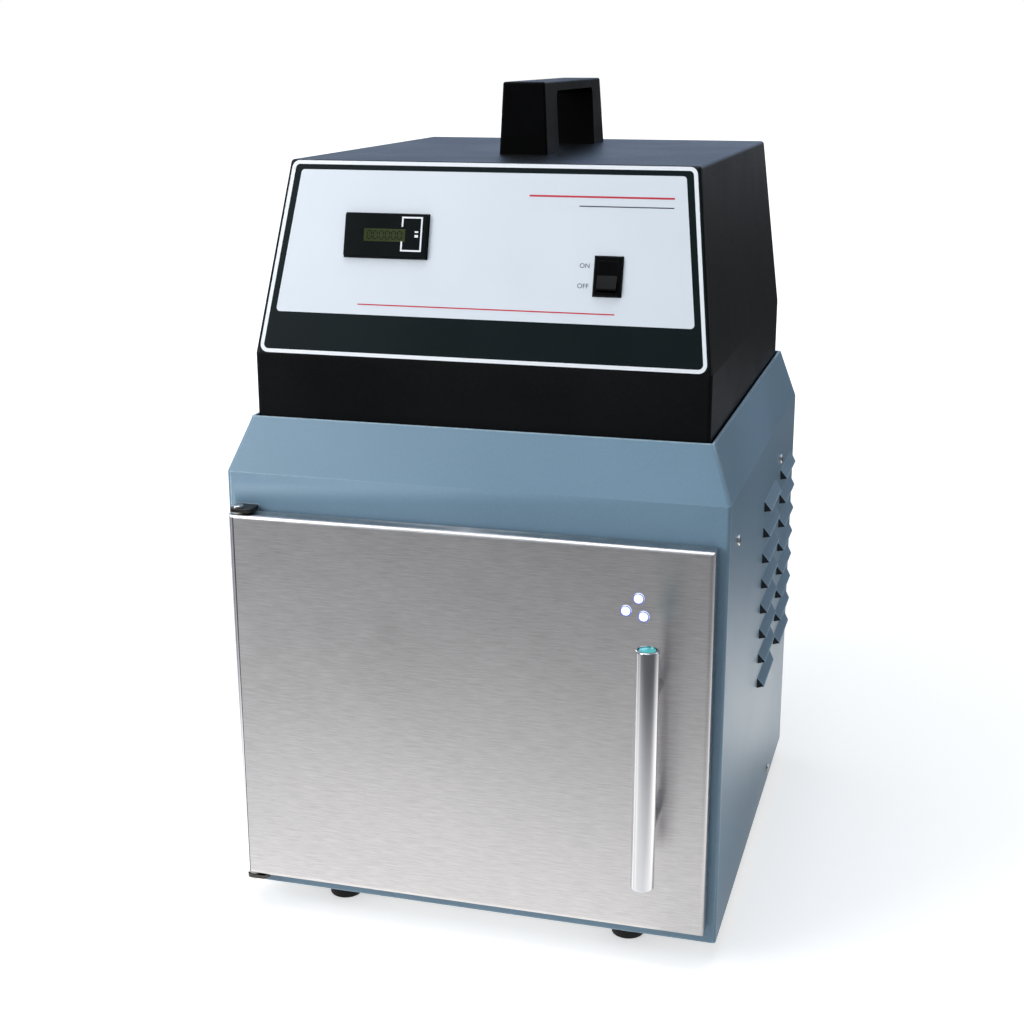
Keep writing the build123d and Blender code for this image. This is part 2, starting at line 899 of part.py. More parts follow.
def bracket_screw_places():
    """Places of two screws on the back of each bracket leg."""
    back = cabinet_sheet + seam_gap + bracket_thickness
    places = []
    middle = bracket_left() + bracket_width / 2
    for z in (upper_arm()[1] - bracket_screw_drop, lower_arm()[0] + bracket_screw_drop):
        for side in (-1, 1):
            places.append(facing_back(middle + side * bracket_screw_pitch / 2, back, z))
    return places


def bracket_screws():
    """The screws behind the front sheet that hold the brackets."""
    return screws_at(bracket_screw_places(), bracket_thickness)


def door_skin():
    """The brushed front pan of the door, folded back on all four sides."""
    outer = block((-door_half, door_half), (door_face, door_back), (door_low, door_high))
    outer = fillet(outer.faces().sort_by(Axis.Y)[0].edges(), door_radius)
    inner = block(
        (-door_half + door_sheet, door_half - door_sheet),
        (door_face + door_sheet, door_back + over),
        (door_low + door_sheet, door_high - door_sheet),
    )
    inner = fillet(inner.faces().sort_by(Axis.Y)[0].edges(), door_radius - door_sheet)
    body = outer - inner
    bush = pin_radius + bush_wall
    body = body - rod_z(pivot_x, pivot_y, (door_low - over, door_low + door_sheet + over), bush)
    body = body - rod_z(pivot_x, pivot_y, (door_high - door_sheet - over, door_high + over), bush)
    for x, z in window_centers():
        body = body - rod_y(x, (door_face - over, door_face + door_sheet + over), z, window_radius)
    through = (door_face - over, door_face + door_sheet + over)
    for z in post_heights():
        body = body - rod_y(pull_x(), through, z, pull_screw_radius + seam_gap)
    return body


def pull_x():
    """Where the bar pull stands across the door."""
    return door_half - pull_side_inset


def post_heights():
    """Heights of the two posts of the bar pull."""
    return (pull_center_height - pull_post_pitch / 2, pull_center_height + pull_post_pitch / 2)


def window_centers():
    """Centres of the viewing windows, from the door's right and top edges."""
    return [(door_half - right, door_high - down) for right, down in window_places]


def door_inner_panel():
    """The flat back sheet inside the door pan."""
    fit = door_sheet + seam_gap
    half = door_half - fit
    body = block((-half, half), (door_inner_face, door_back), (door_low + fit, door_high - fit))
    for x, z in window_centers():
        body = body - rod_y(x, (door_inner_face - over, door_back + over), z, window_radius)
    return body


def door_spacers():
    """Channels inside the door that hold the back sheet off the front pan."""
    found = []
    for x in (-door_half + spacer_hinge_inset, 0.0, door_half - spacer_pull_inset):
        found.append(
            block(
                (x - spacer_width / 2, x + spacer_width / 2),
                (door_face + door_sheet, door_inner_face),
                (door_low + spacer_end_inset, door_high - spacer_end_inset),
            )
        )
    return group(found)


def door_seal():
    """A foam light seal around the opening, carried by the door."""
    inner_x = chamber_half + seal_inset
    outer_x = inner_x + seal_width
    inner_low = opening_low - seal_inset
    inner_high = opening_high + seal_inset
    y = (door_back, -rest_gap)
    low = max(inner_low - seal_width, door_low + door_sheet)
    high = min(inner_high + seal_width, door_high - door_sheet)
    ring = block((-outer_x, outer_x), y, (low, high))
    return ring - block((-inner_x, inner_x), (door_back - over, over), (inner_low, inner_high))


def view_windows():
    """Three stepped filter rods that show from both sides of the door."""
    found = []
    for x, z in window_centers():
        rod = rod_y(x, (door_face - window_flange / 2, door_back), z, window_radius - seam_gap)
        collar = rod_y(x, (door_face - window_flange, door_face), z, window_radius + window_flange / 2)
        collar = fillet(collar.edges().group_by(Axis.Y)[0], window_edge)
        found.append(rod + collar)
    return group(found)


def pull_axis_y():
    """Distance of the bar's centre line in front of the cabinet's face."""
    return door_face - pull_projection + pull_radius


def door_pull_bar():
    """The upright round bar, bored at both ends."""
    x = pull_x()
    y = pull_axis_y()
    low = pull_center_height - pull_length / 2
    high = pull_center_height + pull_length / 2
    bar = rod_z(x, y, (low, high), pull_radius)
    bar = fillet(bar.edges(), pull_edge)
    for span in ((low - over, low + pull_bore_depth), (high - pull_bore_depth, high + over)):
        bar = bar - rod_z(x, y, span, pull_bore_radius)
    for z in post_heights():
        bar = bar - rod_y(x, (y, y + pull_radius + over), z, pull_post_radius)
    return bar


def door_pull_posts():
    """Two posts between the bar and the door."""
    posts = []
    for z in post_heights():
        post = rod_y(pull_x(), (pull_axis_y(), door_face), z, pull_post_radius)
        bore = (door_face - pull_screw_entry, door_face + over)
        posts.append(post - rod_y(pull_x(), bore, z, pull_screw_radius))
    return group(posts)


def door_pull_screws():
    """The screws that hold the posts from inside the door."""
    seat = door_face + door_sheet
    found = []
    for z in post_heights():
        head = rod_y(pull_x(), (seat, seat + pull_screw_head_height), z, pull_screw_head_radius)
        found.append(head + rod_y(pull_x(), (door_face - pull_screw_entry, seat), z, pull_screw_radius))
    return group(found)


def catch_magnets():
    """Two round magnets in collars behind the front sheet."""
    found = []
    for z in (catch_low, catch_high):
        body = rod_y(catch_x, (0, magnet_length), z, magnet_radius)
        span = (cabinet_sheet, cabinet_sheet + magnet_collar_length)
        collar = rod_y(catch_x, span, z, magnet_radius + magnet_collar_lip)
        found.append(body + collar)
    return group(found)


def strike_plates():
    """Two steel discs on the back of the door that meet the magnets."""
    span = (door_back, -rest_gap)
    return group([rod_y(catch_x, span, z, strike_radius) for z in (catch_low, catch_high)])


def interlock_switch():
    """The switch block behind the front sheet, bored for its plunger."""
    width, depth, height = switch_block
    body = block(
        (catch_x - width / 2, catch_x + width / 2),
        (cabinet_sheet, cabinet_sheet + depth),
        (interlock_height - height / 2, interlock_height + height / 2),
    )
    body = fillet(body.edges().filter_by(Axis.Y), switch_block_edge)
    bore_end = plunger_length + rest_gap
    return body - rod_y(catch_x, (0, bore_end), interlock_height, plunger_radius + pin_clearance)


def interlock_plunger():
    """The round plunger that the door presses."""
    tip = door_back + rest_gap
    body = rod_y(catch_x, (tip, tip + plunger_length), interlock_height, plunger_radius)
    return fillet(body.edges().group_by(Axis.Y)[0], plunger_edge)


def side_screws():
    """Three screws in each side of the cabinet."""
    places = [facing_x(y, z, side) for side in (-1, 1) for y, z in side_screw_places]
    return screws_at(places, short_screw_length)


def rear_screws():
    """The screws around the cabinet's back sheet."""
    x = inner_half - flange_width / 2
    places = [facing_back(side * x, cabinet_depth, z) for side in (-1, 1) for z in rear_screw_heights]
    return screws_at(places, short_screw_length)


def head_cover():
    """The black sheet cover of the lamp head, open below and behind."""
    outer = leaning_body(
        head_half, head_front, head_rear, head_low, head_fold, head_top, side_lean, front_lean
    )
    corners = front_corner_edges(outer, (head_front + head_rear) / 2)
    roof = outer.faces().sort_by(Axis.Z)[-1]
    top_edges = [edge for edge in roof.edges() if edge.center().Y < head_rear - over]
    outer = fillet(corners + top_edges, head_radius)
    inner = leaning_body(
        head_half, head_front, head_rear + cut, head_low - cut, head_fold, head_top - head_sheet,
        side_lean, front_lean, head_sheet,
    )
    body = outer - inner
    back = head_inner_rear - seam_gap
    flange_low = head_plate_top + head_plate_flange + 2 * clearance
    for side in (-1, 1):
        body = body + side_block(
            side,
            head_half - head_sheet - flange_width,
            head_half - head_sheet / 2,
            (back - head_sheet, back),
            (flange_low, head_fold),
        )
        for z in head_screw_heights:
            hole_x = side * (head_half - head_sheet - flange_width / 2)
            body = body - rod_y(hole_x, (back - cut, back + seam_gap / 2), z, screw_radius)
    for x, y in handle_screw_places():
        body = body - rod_z(x, y, (head_top - cut, head_top + over), screw_radius + seam_gap)
    return body - front_cutouts()


def front_cutouts():
    """Holes through the sloping front for the hour meter and the rocker switch."""
    width, height = meter_body
    meter = Pos(*meter_place, 0) * Box(width + 2 * seam_gap, height + 2 * seam_gap, 4 * cut)
    width, height = switch_body
    switch = Pos(*switch_place, 0) * Box(width + 2 * seam_gap, height + 2 * seam_gap, 4 * cut)
    return slope_plane.location * (meter + switch)


def front_label():
    """The printed sheet on the sloping front."""
    slope_lean = side_lean * math.cos(front_lean_angle)
    low = label_end_margin
    high = slope_length - label_end_margin
    low_half = head_half - label_side_margin - slope_lean * low
    high_half = head_half - label_side_margin - slope_lean * high
    corners = [(-low_half, low), (low_half, low), (high_half, high), (-high_half, high)]
    outline = Polygon(*corners, align=None)
    outline = fillet(outline.vertices(), label_corner)
    return slope_plane.location * extrude(outline, amount=label_sheet) - front_cutouts()


def hour_meter():
    """The hour meter: a flat bezel in front of the label and a body behind it."""
    bezel = Pos(*meter_place, label_sheet + meter_proud / 2) * Box(*meter_size, meter_proud)
    bezel = fillet(bezel.edges().filter_by(Axis.Z), meter_corner)
    bezel = fillet(bezel.edges().group_by(Axis.Z)[-1], bezel_edge)
    body = Pos(*meter_place, label_sheet - meter_depth / 2) * Box(*meter_body, meter_depth)
    pocket = Pos(*display_center(), label_sheet + meter_proud) * Box(*display_size, 2 * display_sheet)
    return slope_plane.location * (bezel + body - pocket)


def display_center():
    """Middle of the display on the sloping front."""
    return (meter_place[0] + display_offset[0], meter_place[1] + display_offset[1])


def hour_display():
    """The display plate set into the bezel."""
    width, height = display_size
    plate = Box(width - 2 * seam_gap, height - 2 * seam_gap, display_sheet)
    depth = label_sheet + meter_proud - display_sheet / 2
    return slope_plane.location * (Pos(*display_center(), depth) * plate)


def switch_housing(seat):
    """A rocker switch's frame and body on the XY plane, with a pocket for the rocker."""
    bezel = Pos(0, 0, seat + switch_proud / 2) * Box(*switch_size, switch_proud)
    bezel = fillet(bezel.edges().filter_by(Axis.Z), switch_corner)
    bezel = fillet(bezel.edges().group_by(Axis.Z)[-1], bezel_edge)
    body = Pos(0, 0, seat - switch_depth / 2) * Box(*switch_body, switch_depth)
    width, height = rocker_size
    pocket_half = width / 2 + rocker_clearance
    pocket = Box(2 * pocket_half, height + 4 * rocker_clearance, 2 * pocket_depth)
    housing = bezel + body - Pos(0, 0, seat + switch_proud) * pocket
    reach = pocket_half + rocker_pin_entry + seam_gap
    return housing - rod_x((-reach, reach), 0, pivot_depth(seat), rocker_pin_radius + pin_clearance)


def rocker(seat):
    """A rocker with its two pivot pins, drawn with its upper end pressed in."""
    width, height = rocker_size
    half = height / 2
    points = [
        (-half, rocker_crown),
        (0, rocker_crown - rocker_dip),
        (half, rocker_crown),
        (half - rocker_taper, -rocker_root / 2),
        (0, -rocker_root),
        (-half + rocker_taper, -rocker_root / 2),
    ]
    body = prism_x(points, (-width / 2, width / 2))
    body = fillet(body.edges().filter_by(Axis.X).sort_by(Axis.Z)[-3:], rocker_edge)
    reach = width / 2 + rocker_clearance + rocker_pin_entry
    body = body + rod_x((-reach, reach), 0, 0, rocker_pin_radius)
    return Pos(0, 0, pivot_depth(seat)) * Rot(-rocker_tilt_deg, 0, 0) * body


def pivot_depth(seat):
    """Height of a rocker's pivot line over its mounting surface."""
    return seat + switch_proud - rocker_crown + rocker_dip


def switch_location():
    """Place of the front switch on the sloping front."""
    return slope_plane.location * Pos(*switch_place, 0)


def mains_location():
    """Place of the rear switch on the head's back sheet."""
    return rear_plane.location * Pos(-mains_x, entry_z, 0)


def handle_screw_places():
    """Two screws under each leg of the carrying handle."""
    rear = handle_front + handle_length
    return [(0, handle_front + handle_leg / 2), (0, rear - handle_rear_draft - handle_leg / 2)]


def carry_handle():
    """The moulded carrying handle: two legs and a grip in one piece."""
    rear = handle_front + handle_length
    top = head_top + handle_rise
    side = prism_x(
        [
            (handle_front, head_top),
            (rear, head_top),
            (rear - handle_rear_draft, top),
            (handle_front + handle_front_draft, top),
        ],
        (-handle_width, handle_width),
    )
    half = handle_width / 2
    top_half = handle_top_width / 2
    front = prism_y(
        [(-half, head_top), (half, head_top), (top_half, top), (-top_half, top)],
        (handle_front - cut, rear + cut),
    )
    body = side & front
    above = [edge for edge in body.edges() if edge.center().Z > head_top + over]
    body = fillet(above, handle_radius)
    gap_front = handle_front + handle_leg
    gap_rear = rear - handle_leg
    gap_height = (head_top - 2 * handle_gap_radius, top - handle_grip)
    gap = block((-handle_width, handle_width), (gap_front, gap_rear), gap_height)
    gap = fillet(gap.edges().filter_by(Axis.X), handle_gap_radius)
    body = body - gap
    for x, y in handle_screw_places():
        body = body - rod_z(x, y, (head_top - over, head_top + screw_length), screw_radius)
    return body


def handle_screws():
    """The screws that hold the carrying handle from inside the cover."""
    under = head_top - head_sheet
    return screws_at([facing_down(x, y, under) for x, y in handle_screw_places()], screw_length)


def head_base_plate():
    """The steel plate that closes the head below and carries what is inside."""
    half = head_half - head_sheet - seam_gap
    front = head_front + head_sheet + seam_gap
    rear = head_inner_rear - 2 * seam_gap
    body = block((-half, half), (front, rear), (head_low, head_plate_top))
    flange_y = (front, rear - flange_width)
    flange_z = (head_low, head_plate_top + head_plate_flange)
    for side in (-1, 1):
        body = body + side_block(side, half - head_plate, half, flange_y, flange_z)
    return body - lamp_square(aperture_half, (head_low - over, head_plate_top + over))


def head_rear_panel():
    """The flat back sheet of the head with the fan hole, vents and holes for the power entry."""
    fit = head_sheet + seam_gap
    body = leaning_body(
        head_half, head_front, head_rear, head_low, head_fold, head_top - fit, side_lean, 0, fit
    )
    body = body & block((-head_half, head_half), (head_inner_rear, head_rear), (head_low, head_top))
    through = (head_inner_rear - over, head_rear + over)
    body = body - rod_y(fan_x, through, fan_z, fan_bore)
    for x, z in fan_holes():
        body = body - rod_y(x, through, z, fan_screw_radius + seam_gap)
    first = fan_x - (head_vent_columns - 1) / 2 * vent_pitch
    vent_z = head_plate_top + head_vent_rise
    places = [(first + index * vent_pitch, vent_z) for index in range(head_vent_columns)]
    for cutter in upright_slots(places, vent_width, through, head_vent_height):
        body = body - cutter
    for x, (width, height) in ((inlet_x, inlet_body), (mains_x, switch_body)):
        across = width / 2 + seam_gap
        up = height / 2 + seam_gap
        body = body - block((x - across, x + across), through, (entry_z - up, entry_z + up))
    body = body - rod_y(fuse_x, through, entry_z, fuse_radius + seam_gap)
    for side in (-1, 1):
        for z in head_screw_heights:
            hole_x = side * (head_half - head_sheet - flange_width / 2)
            body = body - rod_y(hole_x, through, z, screw_radius + seam_gap)
    for side in (-1, 1):
        body = body - rod_y(inlet_x + side * inlet_screw_offset(), through, entry_z, screw_radius)
    return body


def inlet_screw_offset():
    """Distance of the inlet's screws from its middle."""
    return (inlet_flange[0] + inlet_body[0]) / 4


def head_rear_screws():
    """The screws of the head's back sheet and of the power inlet."""
    edge = head_half - head_sheet - flange_width / 2
    places = [facing_back(side * edge, head_rear, z) for side in (-1, 1) for z in head_screw_heights]
    for side in (-1, 1):
        x = inlet_x + side * inlet_screw_offset()
        places.append(facing_back(x, head_rear + inlet_flange_sheet, entry_z))
    return screws_at(places, short_screw_length)


def square_frustum(low_half, high_half, low, high):
    """A square pyramid cut off at the top, over the lamp's centre."""
    below = Pos(0, lamp_center, low) * Rectangle(2 * low_half, 2 * low_half)
    above = Pos(0, lamp_center, high) * Rectangle(2 * high_half, 2 * high_half)
    return loft([below, above])


def reflector():
    """The four-sided polished reflector over the window, with a flange and a neck hole."""
    low_half = aperture_half + aperture_margin
    high_half = reflector_top / 2
    wall = reflector_sheet
    outer = square_frustum(low_half + wall, high_half + wall, reflector_low, reflector_high)
    roof = lamp_square(high_half + wall, (reflector_high, socket_low))
    flange = lamp_square(low_half + reflector_flange, (reflector_low, reflector_low + wall))
    body = outer + roof + flange
    body = body - square_frustum(low_half, high_half, reflector_low, reflector_high)
    neck = (reflector_high - over, socket_low + over)
    return body - rod_z(0, lamp_center, neck, bulb_neck_radius + neck_clearance)


def uv_window():
    """The glass under the reflector, over the aperture."""
    return lamp_square(aperture_half + window_overlap, (window_low, window_high))


def window_retainer():
    """A stepped frame that holds the glass down on the plate."""
    body = lamp_square(retainer_reach, (window_low, retainer_high))
    body = body - lamp_square(retainer_reach - retainer_lap, (window_low - over, window_high))
    lip = aperture_half + aperture_margin
    return body - lamp_square(lip, (window_low - over, retainer_high + over))


def lamp_bulb():
    """The arc lamp: a round envelope and a neck that goes up into the socket."""
    middle = socket_low - bulb_length + bulb_radius
    body = Pos(0, lamp_center, middle) * Sphere(bulb_radius)
    return body + rod_z(0, lamp_center, (middle, socket_low + neck_entry), bulb_neck_radius)


def lamp_socket():
    """The ceramic lamp holder."""
    body = rod_z(0, lamp_center, (socket_low, socket_high), socket_radius)
    body = fillet(body.edges().group_by(Axis.Z)[-1], socket_edge)
    bore = (socket_low - over, socket_low + neck_entry)
    return body - rod_z(0, lamp_center, bore, bulb_neck_radius + seam_gap)


def socket_bracket():
    """A bent strip from the base plate over the reflector that holds the socket."""
    reach = retainer_reach + bracket_side_gap
    y = (lamp_center - bracket_strip / 2, lamp_center + bracket_strip / 2)
    body = block((-reach, reach), y, (head_plate_top, socket_high + bracket_sheet))
    inside = reach - bracket_sheet
    under = (head_plate_top - over, socket_high)
    body = body - block((-inside, inside), (y[0] - over, y[1] + over), under)
    toe = (head_plate_top, head_plate_top + bracket_sheet)
    for side in (-1, 1):
        body = body + side_block(side, inside, reach + bracket_toe, y, toe)
    return body


def ballast():
    """The laminated ballast with its winding and feet."""
    width, depth, height = ballast_size
    x = (ballast_left, ballast_left + width)
    y = (parts_front, parts_front + depth)
    core = block(x, y, (head_plate_top, head_plate_top + height))
    core = fillet(core.edges().filter_by(Axis.Y), ballast_edge)
    wind_x, wind_y, wind_z = ballast_winding
    middle = (x[0] + x[1]) / 2
    depth_middle = (y[0] + y[1]) / 2
    winding = block(
        (middle - wind_x / 2, middle + wind_x / 2),
        (depth_middle - wind_y / 2, depth_middle + wind_y / 2),
        (head_plate_top + (height - wind_z) / 2, head_plate_top + (height + wind_z) / 2),
    )
    winding = fillet(winding.edges().filter_by(Axis.Z), winding_corner)
    return core + winding


def igniter():
    """The potted igniter block."""
    width, depth, height = igniter_size
    body = block(
        (igniter_left, igniter_left + width),
        (parts_front, parts_front + depth),
        (head_plate_top, head_plate_top + height),
    )
    return fillet(body.edges().filter_by(Axis.Z), igniter_corner)


def capacitor():
    """The round capacitor with a crimped top and two tabs."""
    y = parts_front + capacitor_radius
    top = head_plate_top + capacitor_height
    can = rod_z(capacitor_x, y, (head_plate_top, top), capacitor_radius)
    can = fillet(can.edges().group_by(Axis.Z)[-1], capacitor_edge)
    width, thickness, height = capacitor_tab
    for side in (-1, 1):
        x = capacitor_x + side * capacitor_radius / 2
        can = can + block(
            (x - width / 2, x + width / 2),
            (y - thickness / 2, y + thickness / 2),
            (top - over, top + height),
        )
    return can


def fan_holes():
    """Centres of the fan's four screws."""
    step = fan_hole_pitch / 2
    return [(fan_x + sx * step, fan_z + sz * step) for sx in (-1, 1) for sz in (-1, 1)]


def fan_span():
    """Depth span of the fan behind the back sheet."""
    return (head_inner_rear - fan_depth, head_inner_rear)


def fan_frame():
    """The square fan frame with a round duct, four struts and a motor cup."""
    front, back = fan_span()
    half = fan_size / 2
    body = block((fan_x - half, fan_x + half), (front, back), (fan_z - half, fan_z + half))
    body = fillet(body.edges().filter_by(Axis.Y), fan_corner)
    body = body - rod_y(fan_x, (front - over, back + over), fan_z, fan_bore)
    for x, z in fan_holes():
        body = body - rod_y(x, (front - over, back + over), z, fan_screw_radius)
    cup = rod_y(fan_x, (back - cup_depth, back), fan_z, hub_radius)
    reach = fan_bore + 1
    arm = strut_width / 2
    depth = (back - cup_depth, back)
    strut = block((fan_x - reach, fan_x + reach), depth, (fan_z - arm, fan_z + arm))
    cross = block((fan_x - arm, fan_x + arm), depth, (fan_z - reach, fan_z + reach))
    body = body + cup + strut + cross
    bore = (back - 2 * cup_depth, back - cup_depth / 2)
    return body - rod_y(fan_x, bore, fan_z, axle_radius + pin_clearance)


def fan_rotor():
    """The fan's hub with twisted blades and an axle that runs in the motor cup."""
    back = head_inner_rear - cup_depth - cup_gap
    front = back - rotor_depth
    hub = rod_y(fan_x, (front, back), fan_z, hub_radius - hub_gap)
    hub = fillet(hub.edges().group_by(Axis.Y)[0], hub_edge)
    length = rotor_radius - hub_radius + blade_root
    chord = blade_depth / math.cos(math.radians(blade_twist_deg))
    blade = Pos(hub_radius - blade_root + length / 2, 0, 0) * Box(length, blade_sheet, chord)
    blade = Rot(blade_twist_deg, 0, 0) * blade
    middle = Pos(fan_x, (front + back) / 2, fan_z) * Rot(90, 0, 0)
    body = hub
    for index in range(blade_count):
        body = body + middle * Rot(0, 0, index * 360.0 / blade_count) * blade
    body = body & rod_y(fan_x, (front, back), fan_z, rotor_radius)
    return body + rod_y(fan_x, (back - over, back + cup_gap + axle_entry), fan_z, axle_radius)


def fan_guard():
    """The wire guard outside the fan: rings, two crossed bars and four eyes."""
    depth = (head_rear, head_rear + 2 * guard_wire)
    reach = fan_hole_pitch / 2 * math.sqrt(2)
    bar = Box(2 * reach, 2 * guard_wire, 2 * guard_wire)
    middle = Pos(fan_x, head_rear + guard_wire, fan_z)
    body = middle * (Rot(0, 45, 0) * bar + Rot(0, 135, 0) * bar)
    for index in range(guard_rings):
        radius = fan_bore * (index + 1) / guard_rings
        ring = rod_y(fan_x, depth, fan_z, radius)
        body = body + (ring - rod_y(fan_x, depth, fan_z, radius - 2 * guard_wire))
    for x, z in fan_holes():
        body = body + rod_y(x, depth, z, fan_screw_radius + guard_eye)
    for x, z in fan_holes():
        body = body - rod_y(x, (depth[0] - over, depth[1] + over), z, fan_screw_radius + seam_gap / 2)
    return body


def fan_screws():
    """Four screws through the guard and the back sheet into the fan."""
    found = []
    seat = head_rear + 2 * guard_wire
    for x, z in fan_holes():
        head = rod_y(x, (seat, seat + screw_head_height), z, fan_screw_head_radius)
        found.append(head + rod_y(x, (seat - fan_screw_length, seat), z, fan_screw_radius - seam_gap))
    return group(found)


def power_inlet():
    """The mains inlet with a flange, a socket and three blades."""
    flange = block(
        (inlet_x - inlet_flange[0] / 2, inlet_x + inlet_flange[0] / 2),
        (head_rear, head_rear + inlet_flange_sheet),
        (entry_z - inlet_flange[1] / 2, entry_z + inlet_flange[1] / 2),
    )
    flange = fillet(flange.edges().filter_by(Axis.Y), inlet_flange_corner)
    body = block(
        (inlet_x - inlet_body[0] / 2, inlet_x + inlet_body[0] / 2),
        (head_rear - inlet_depth, head_rear + over),
        (entry_z - inlet_body[1] / 2, entry_z + inlet_body[1] / 2),
    )
    mouth = head_rear + inlet_flange_sheet
    socket = block(
        (inlet_x - inlet_socket[0] / 2, inlet_x + inlet_socket[0] / 2),
        (mouth - inlet_socket_depth, mouth + over),
        (entry_z - inlet_socket[1] / 2, entry_z + inlet_socket[1] / 2),
    )
    socket = chamfer(socket.edges().filter_by(Axis.Y).sort_by(Axis.Z)[-2:], inlet_socket_chamfer)
    result = flange + body - socket
    for side in (-1, 1):
        x = inlet_x + side * inlet_screw_offset()
        result = result - rod_y(x, (head_rear - over, mouth + over), entry_z, screw_radius)
    for step in (-1, 0, 1):
        x = inlet_x + step * inlet_pin_spread
        z = entry_z + (inlet_pin_rise if step == 0 else -inlet_pin_rise)
        blade = block(
            (x - inlet_pin[0] / 2, x + inlet_pin[0] / 2),
            (mouth - inlet_socket_depth - over, mouth - inlet_pin_recess),
            (z - inlet_pin[1] / 2, z + inlet_pin[1] / 2),
        )
        result = result + blade
    return result


def fuse_holder():
    """The round fuse holder with a slotted cap."""
    body = rod_y(fuse_x, (head_rear - fuse_depth, head_rear + over), entry_z, fuse_radius)
    cap = rod_y(fuse_x, (head_rear, head_rear + fuse_cap_height), entry_z, fuse_cap_radius)
    cap = fillet(cap.edges().group_by(Axis.Y)[-1], fuse_cap_edge)
    width, depth = fuse_slot
    top = head_rear + fuse_cap_height
    slot = block(
        (fuse_x - fuse_cap_radius, fuse_x + fuse_cap_radius),
        (top - depth, top + over),
        (entry_z - width / 2, entry_z + width / 2),
    )
    return body + cap - slot


right_panel = side_panel()
right_liner = liner_side()

save("front_fascia", front_fascia())
save("side_panel_right", right_panel)
save("side_panel_left", mirrored(right_panel))
save("rear_panel", rear_panel())
save("base_pan", base_pan())
save("lamp_deck", lamp_deck())
save("lamp_gasket", lamp_gasket())
save("liner_right", right_liner)
save("liner_left", mirrored(right_liner))
save("liner_rear", liner_rear())
save("work_plate", work_plate())
save("rubber_feet", rubber_feet())
save("foot_screws", foot_screws())
save("hinge_bracket_upper", pivot_bracket(upper_arm(), False))
save("hinge_bracket_lower", pivot_bracket(lower_arm(), True))
save("hinge_pins", group([hinge_pin(upper_arm(), True), hinge_pin(lower_arm(), False)]))
save("hinge_bracket_screws", bracket_screws())
save("catch_magnets", catch_magnets())
save("interlock_switch", interlock_switch())
save("interlock_plunger", interlock_plunger())
save("side_screws", side_screws())
save("rear_screws", rear_screws())

save("door_skin", door_skin())
save("door_inner_panel", door_inner_panel())
save("door_spacers", door_spacers())
save("door_seal", door_seal())
save("door_pull_bar", door_pull_bar())
save("door_pull_posts", door_pull_posts())
save("door_pull_screws", door_pull_screws())
save("view_windows", view_windows())
save("strike_plates", strike_plates())
save("hinge_bushes", group([hinge_bush(True), hinge_bush(False)]))

save("head_cover", head_cover())
save("head_rear_panel", head_rear_panel())
save("head_base_plate", head_base_plate())
save("head_rear_screws", head_rear_screws())
save("front_label", front_label())
save("hour_meter", hour_meter())
save("hour_display", hour_display())
save("power_switch", switch_location() * switch_housing(label_sheet))
save("power_rocker", switch_location() * rocker(label_sheet))
save("mains_switch", mains_location() * switch_housing(0.0))
save("mains_rocker", mains_location() * rocker(0.0))
save("carry_handle", carry_handle())
save("carry_handle_screws", handle_screws())
save("uv_window", uv_window())
save("window_retainer", window_retainer())
save("reflector", reflector())
save("lamp_bulb", lamp_bulb())
save("lamp_socket", lamp_socket())
save("socket_bracket", socket_bracket())
save("ballast", ballast())
save("igniter", igniter())
save("capacitor", capacitor())
save("fan_frame", fan_frame())
save("fan_rotor", fan_rotor())
save("fan_guard", fan_guard())
save("fan_screws", fan_screws())
save("power_inlet", power_inlet())
save("fuse_holder", fuse_holder())
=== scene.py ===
import math

import bmesh
import bpy
from mathutils import Matrix, Vector
from mathutils.geometry import tessellate_polygon


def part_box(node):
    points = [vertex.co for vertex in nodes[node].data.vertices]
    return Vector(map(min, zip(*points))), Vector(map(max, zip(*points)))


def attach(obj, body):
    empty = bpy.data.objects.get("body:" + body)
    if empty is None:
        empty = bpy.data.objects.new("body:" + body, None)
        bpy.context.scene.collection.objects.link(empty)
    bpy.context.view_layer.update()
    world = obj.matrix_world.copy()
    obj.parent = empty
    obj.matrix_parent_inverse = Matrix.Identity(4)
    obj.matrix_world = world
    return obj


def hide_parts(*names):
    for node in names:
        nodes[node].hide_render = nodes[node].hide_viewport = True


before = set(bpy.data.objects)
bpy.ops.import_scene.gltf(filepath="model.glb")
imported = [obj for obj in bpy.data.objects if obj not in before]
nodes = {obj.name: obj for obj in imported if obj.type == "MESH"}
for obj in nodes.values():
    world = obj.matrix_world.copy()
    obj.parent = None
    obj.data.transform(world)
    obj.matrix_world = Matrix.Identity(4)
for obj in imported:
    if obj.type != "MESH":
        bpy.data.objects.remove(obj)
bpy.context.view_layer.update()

mm = 0.001

# The leaning front of the lamp head, as a plane with its own axes: across, up the slope and outwards.
slope_lean = math.radians(15.25)
slope_foot = Vector((0.0, -111.3, 335.5)) * mm
slope_up = Vector((0.0, math.sin(slope_lean), math.cos(slope_lean)))
slope_out = Vector((0.0, -math.cos(slope_lean), math.sin(slope_lean)))
slope = Matrix((Vector((1, 0, 0)), slope_up, slope_out)).transposed().to_4x4()
slope.translation = slope_foot
label_face = 0.4


# ---- shader node groups ----


def shader_group(name, inputs, outputs):
    """A shader node group with named sockets, and its input and output nodes."""
    tree = bpy.data.node_groups.new(name, "ShaderNodeTree")
    kinds = {"value": "NodeSocketFloat", "vector": "NodeSocketVector", "colour": "NodeSocketColor"}
    for label, kind, value in inputs:
        socket = tree.interface.new_socket(label, in_out="INPUT", socket_type=kinds[kind])
        socket.default_value = value
    for label, kind in outputs:
        tree.interface.new_socket(label, in_out="OUTPUT", socket_type=kinds[kind])
    return tree, tree.nodes.new("NodeGroupInput"), tree.nodes.new("NodeGroupOutput")


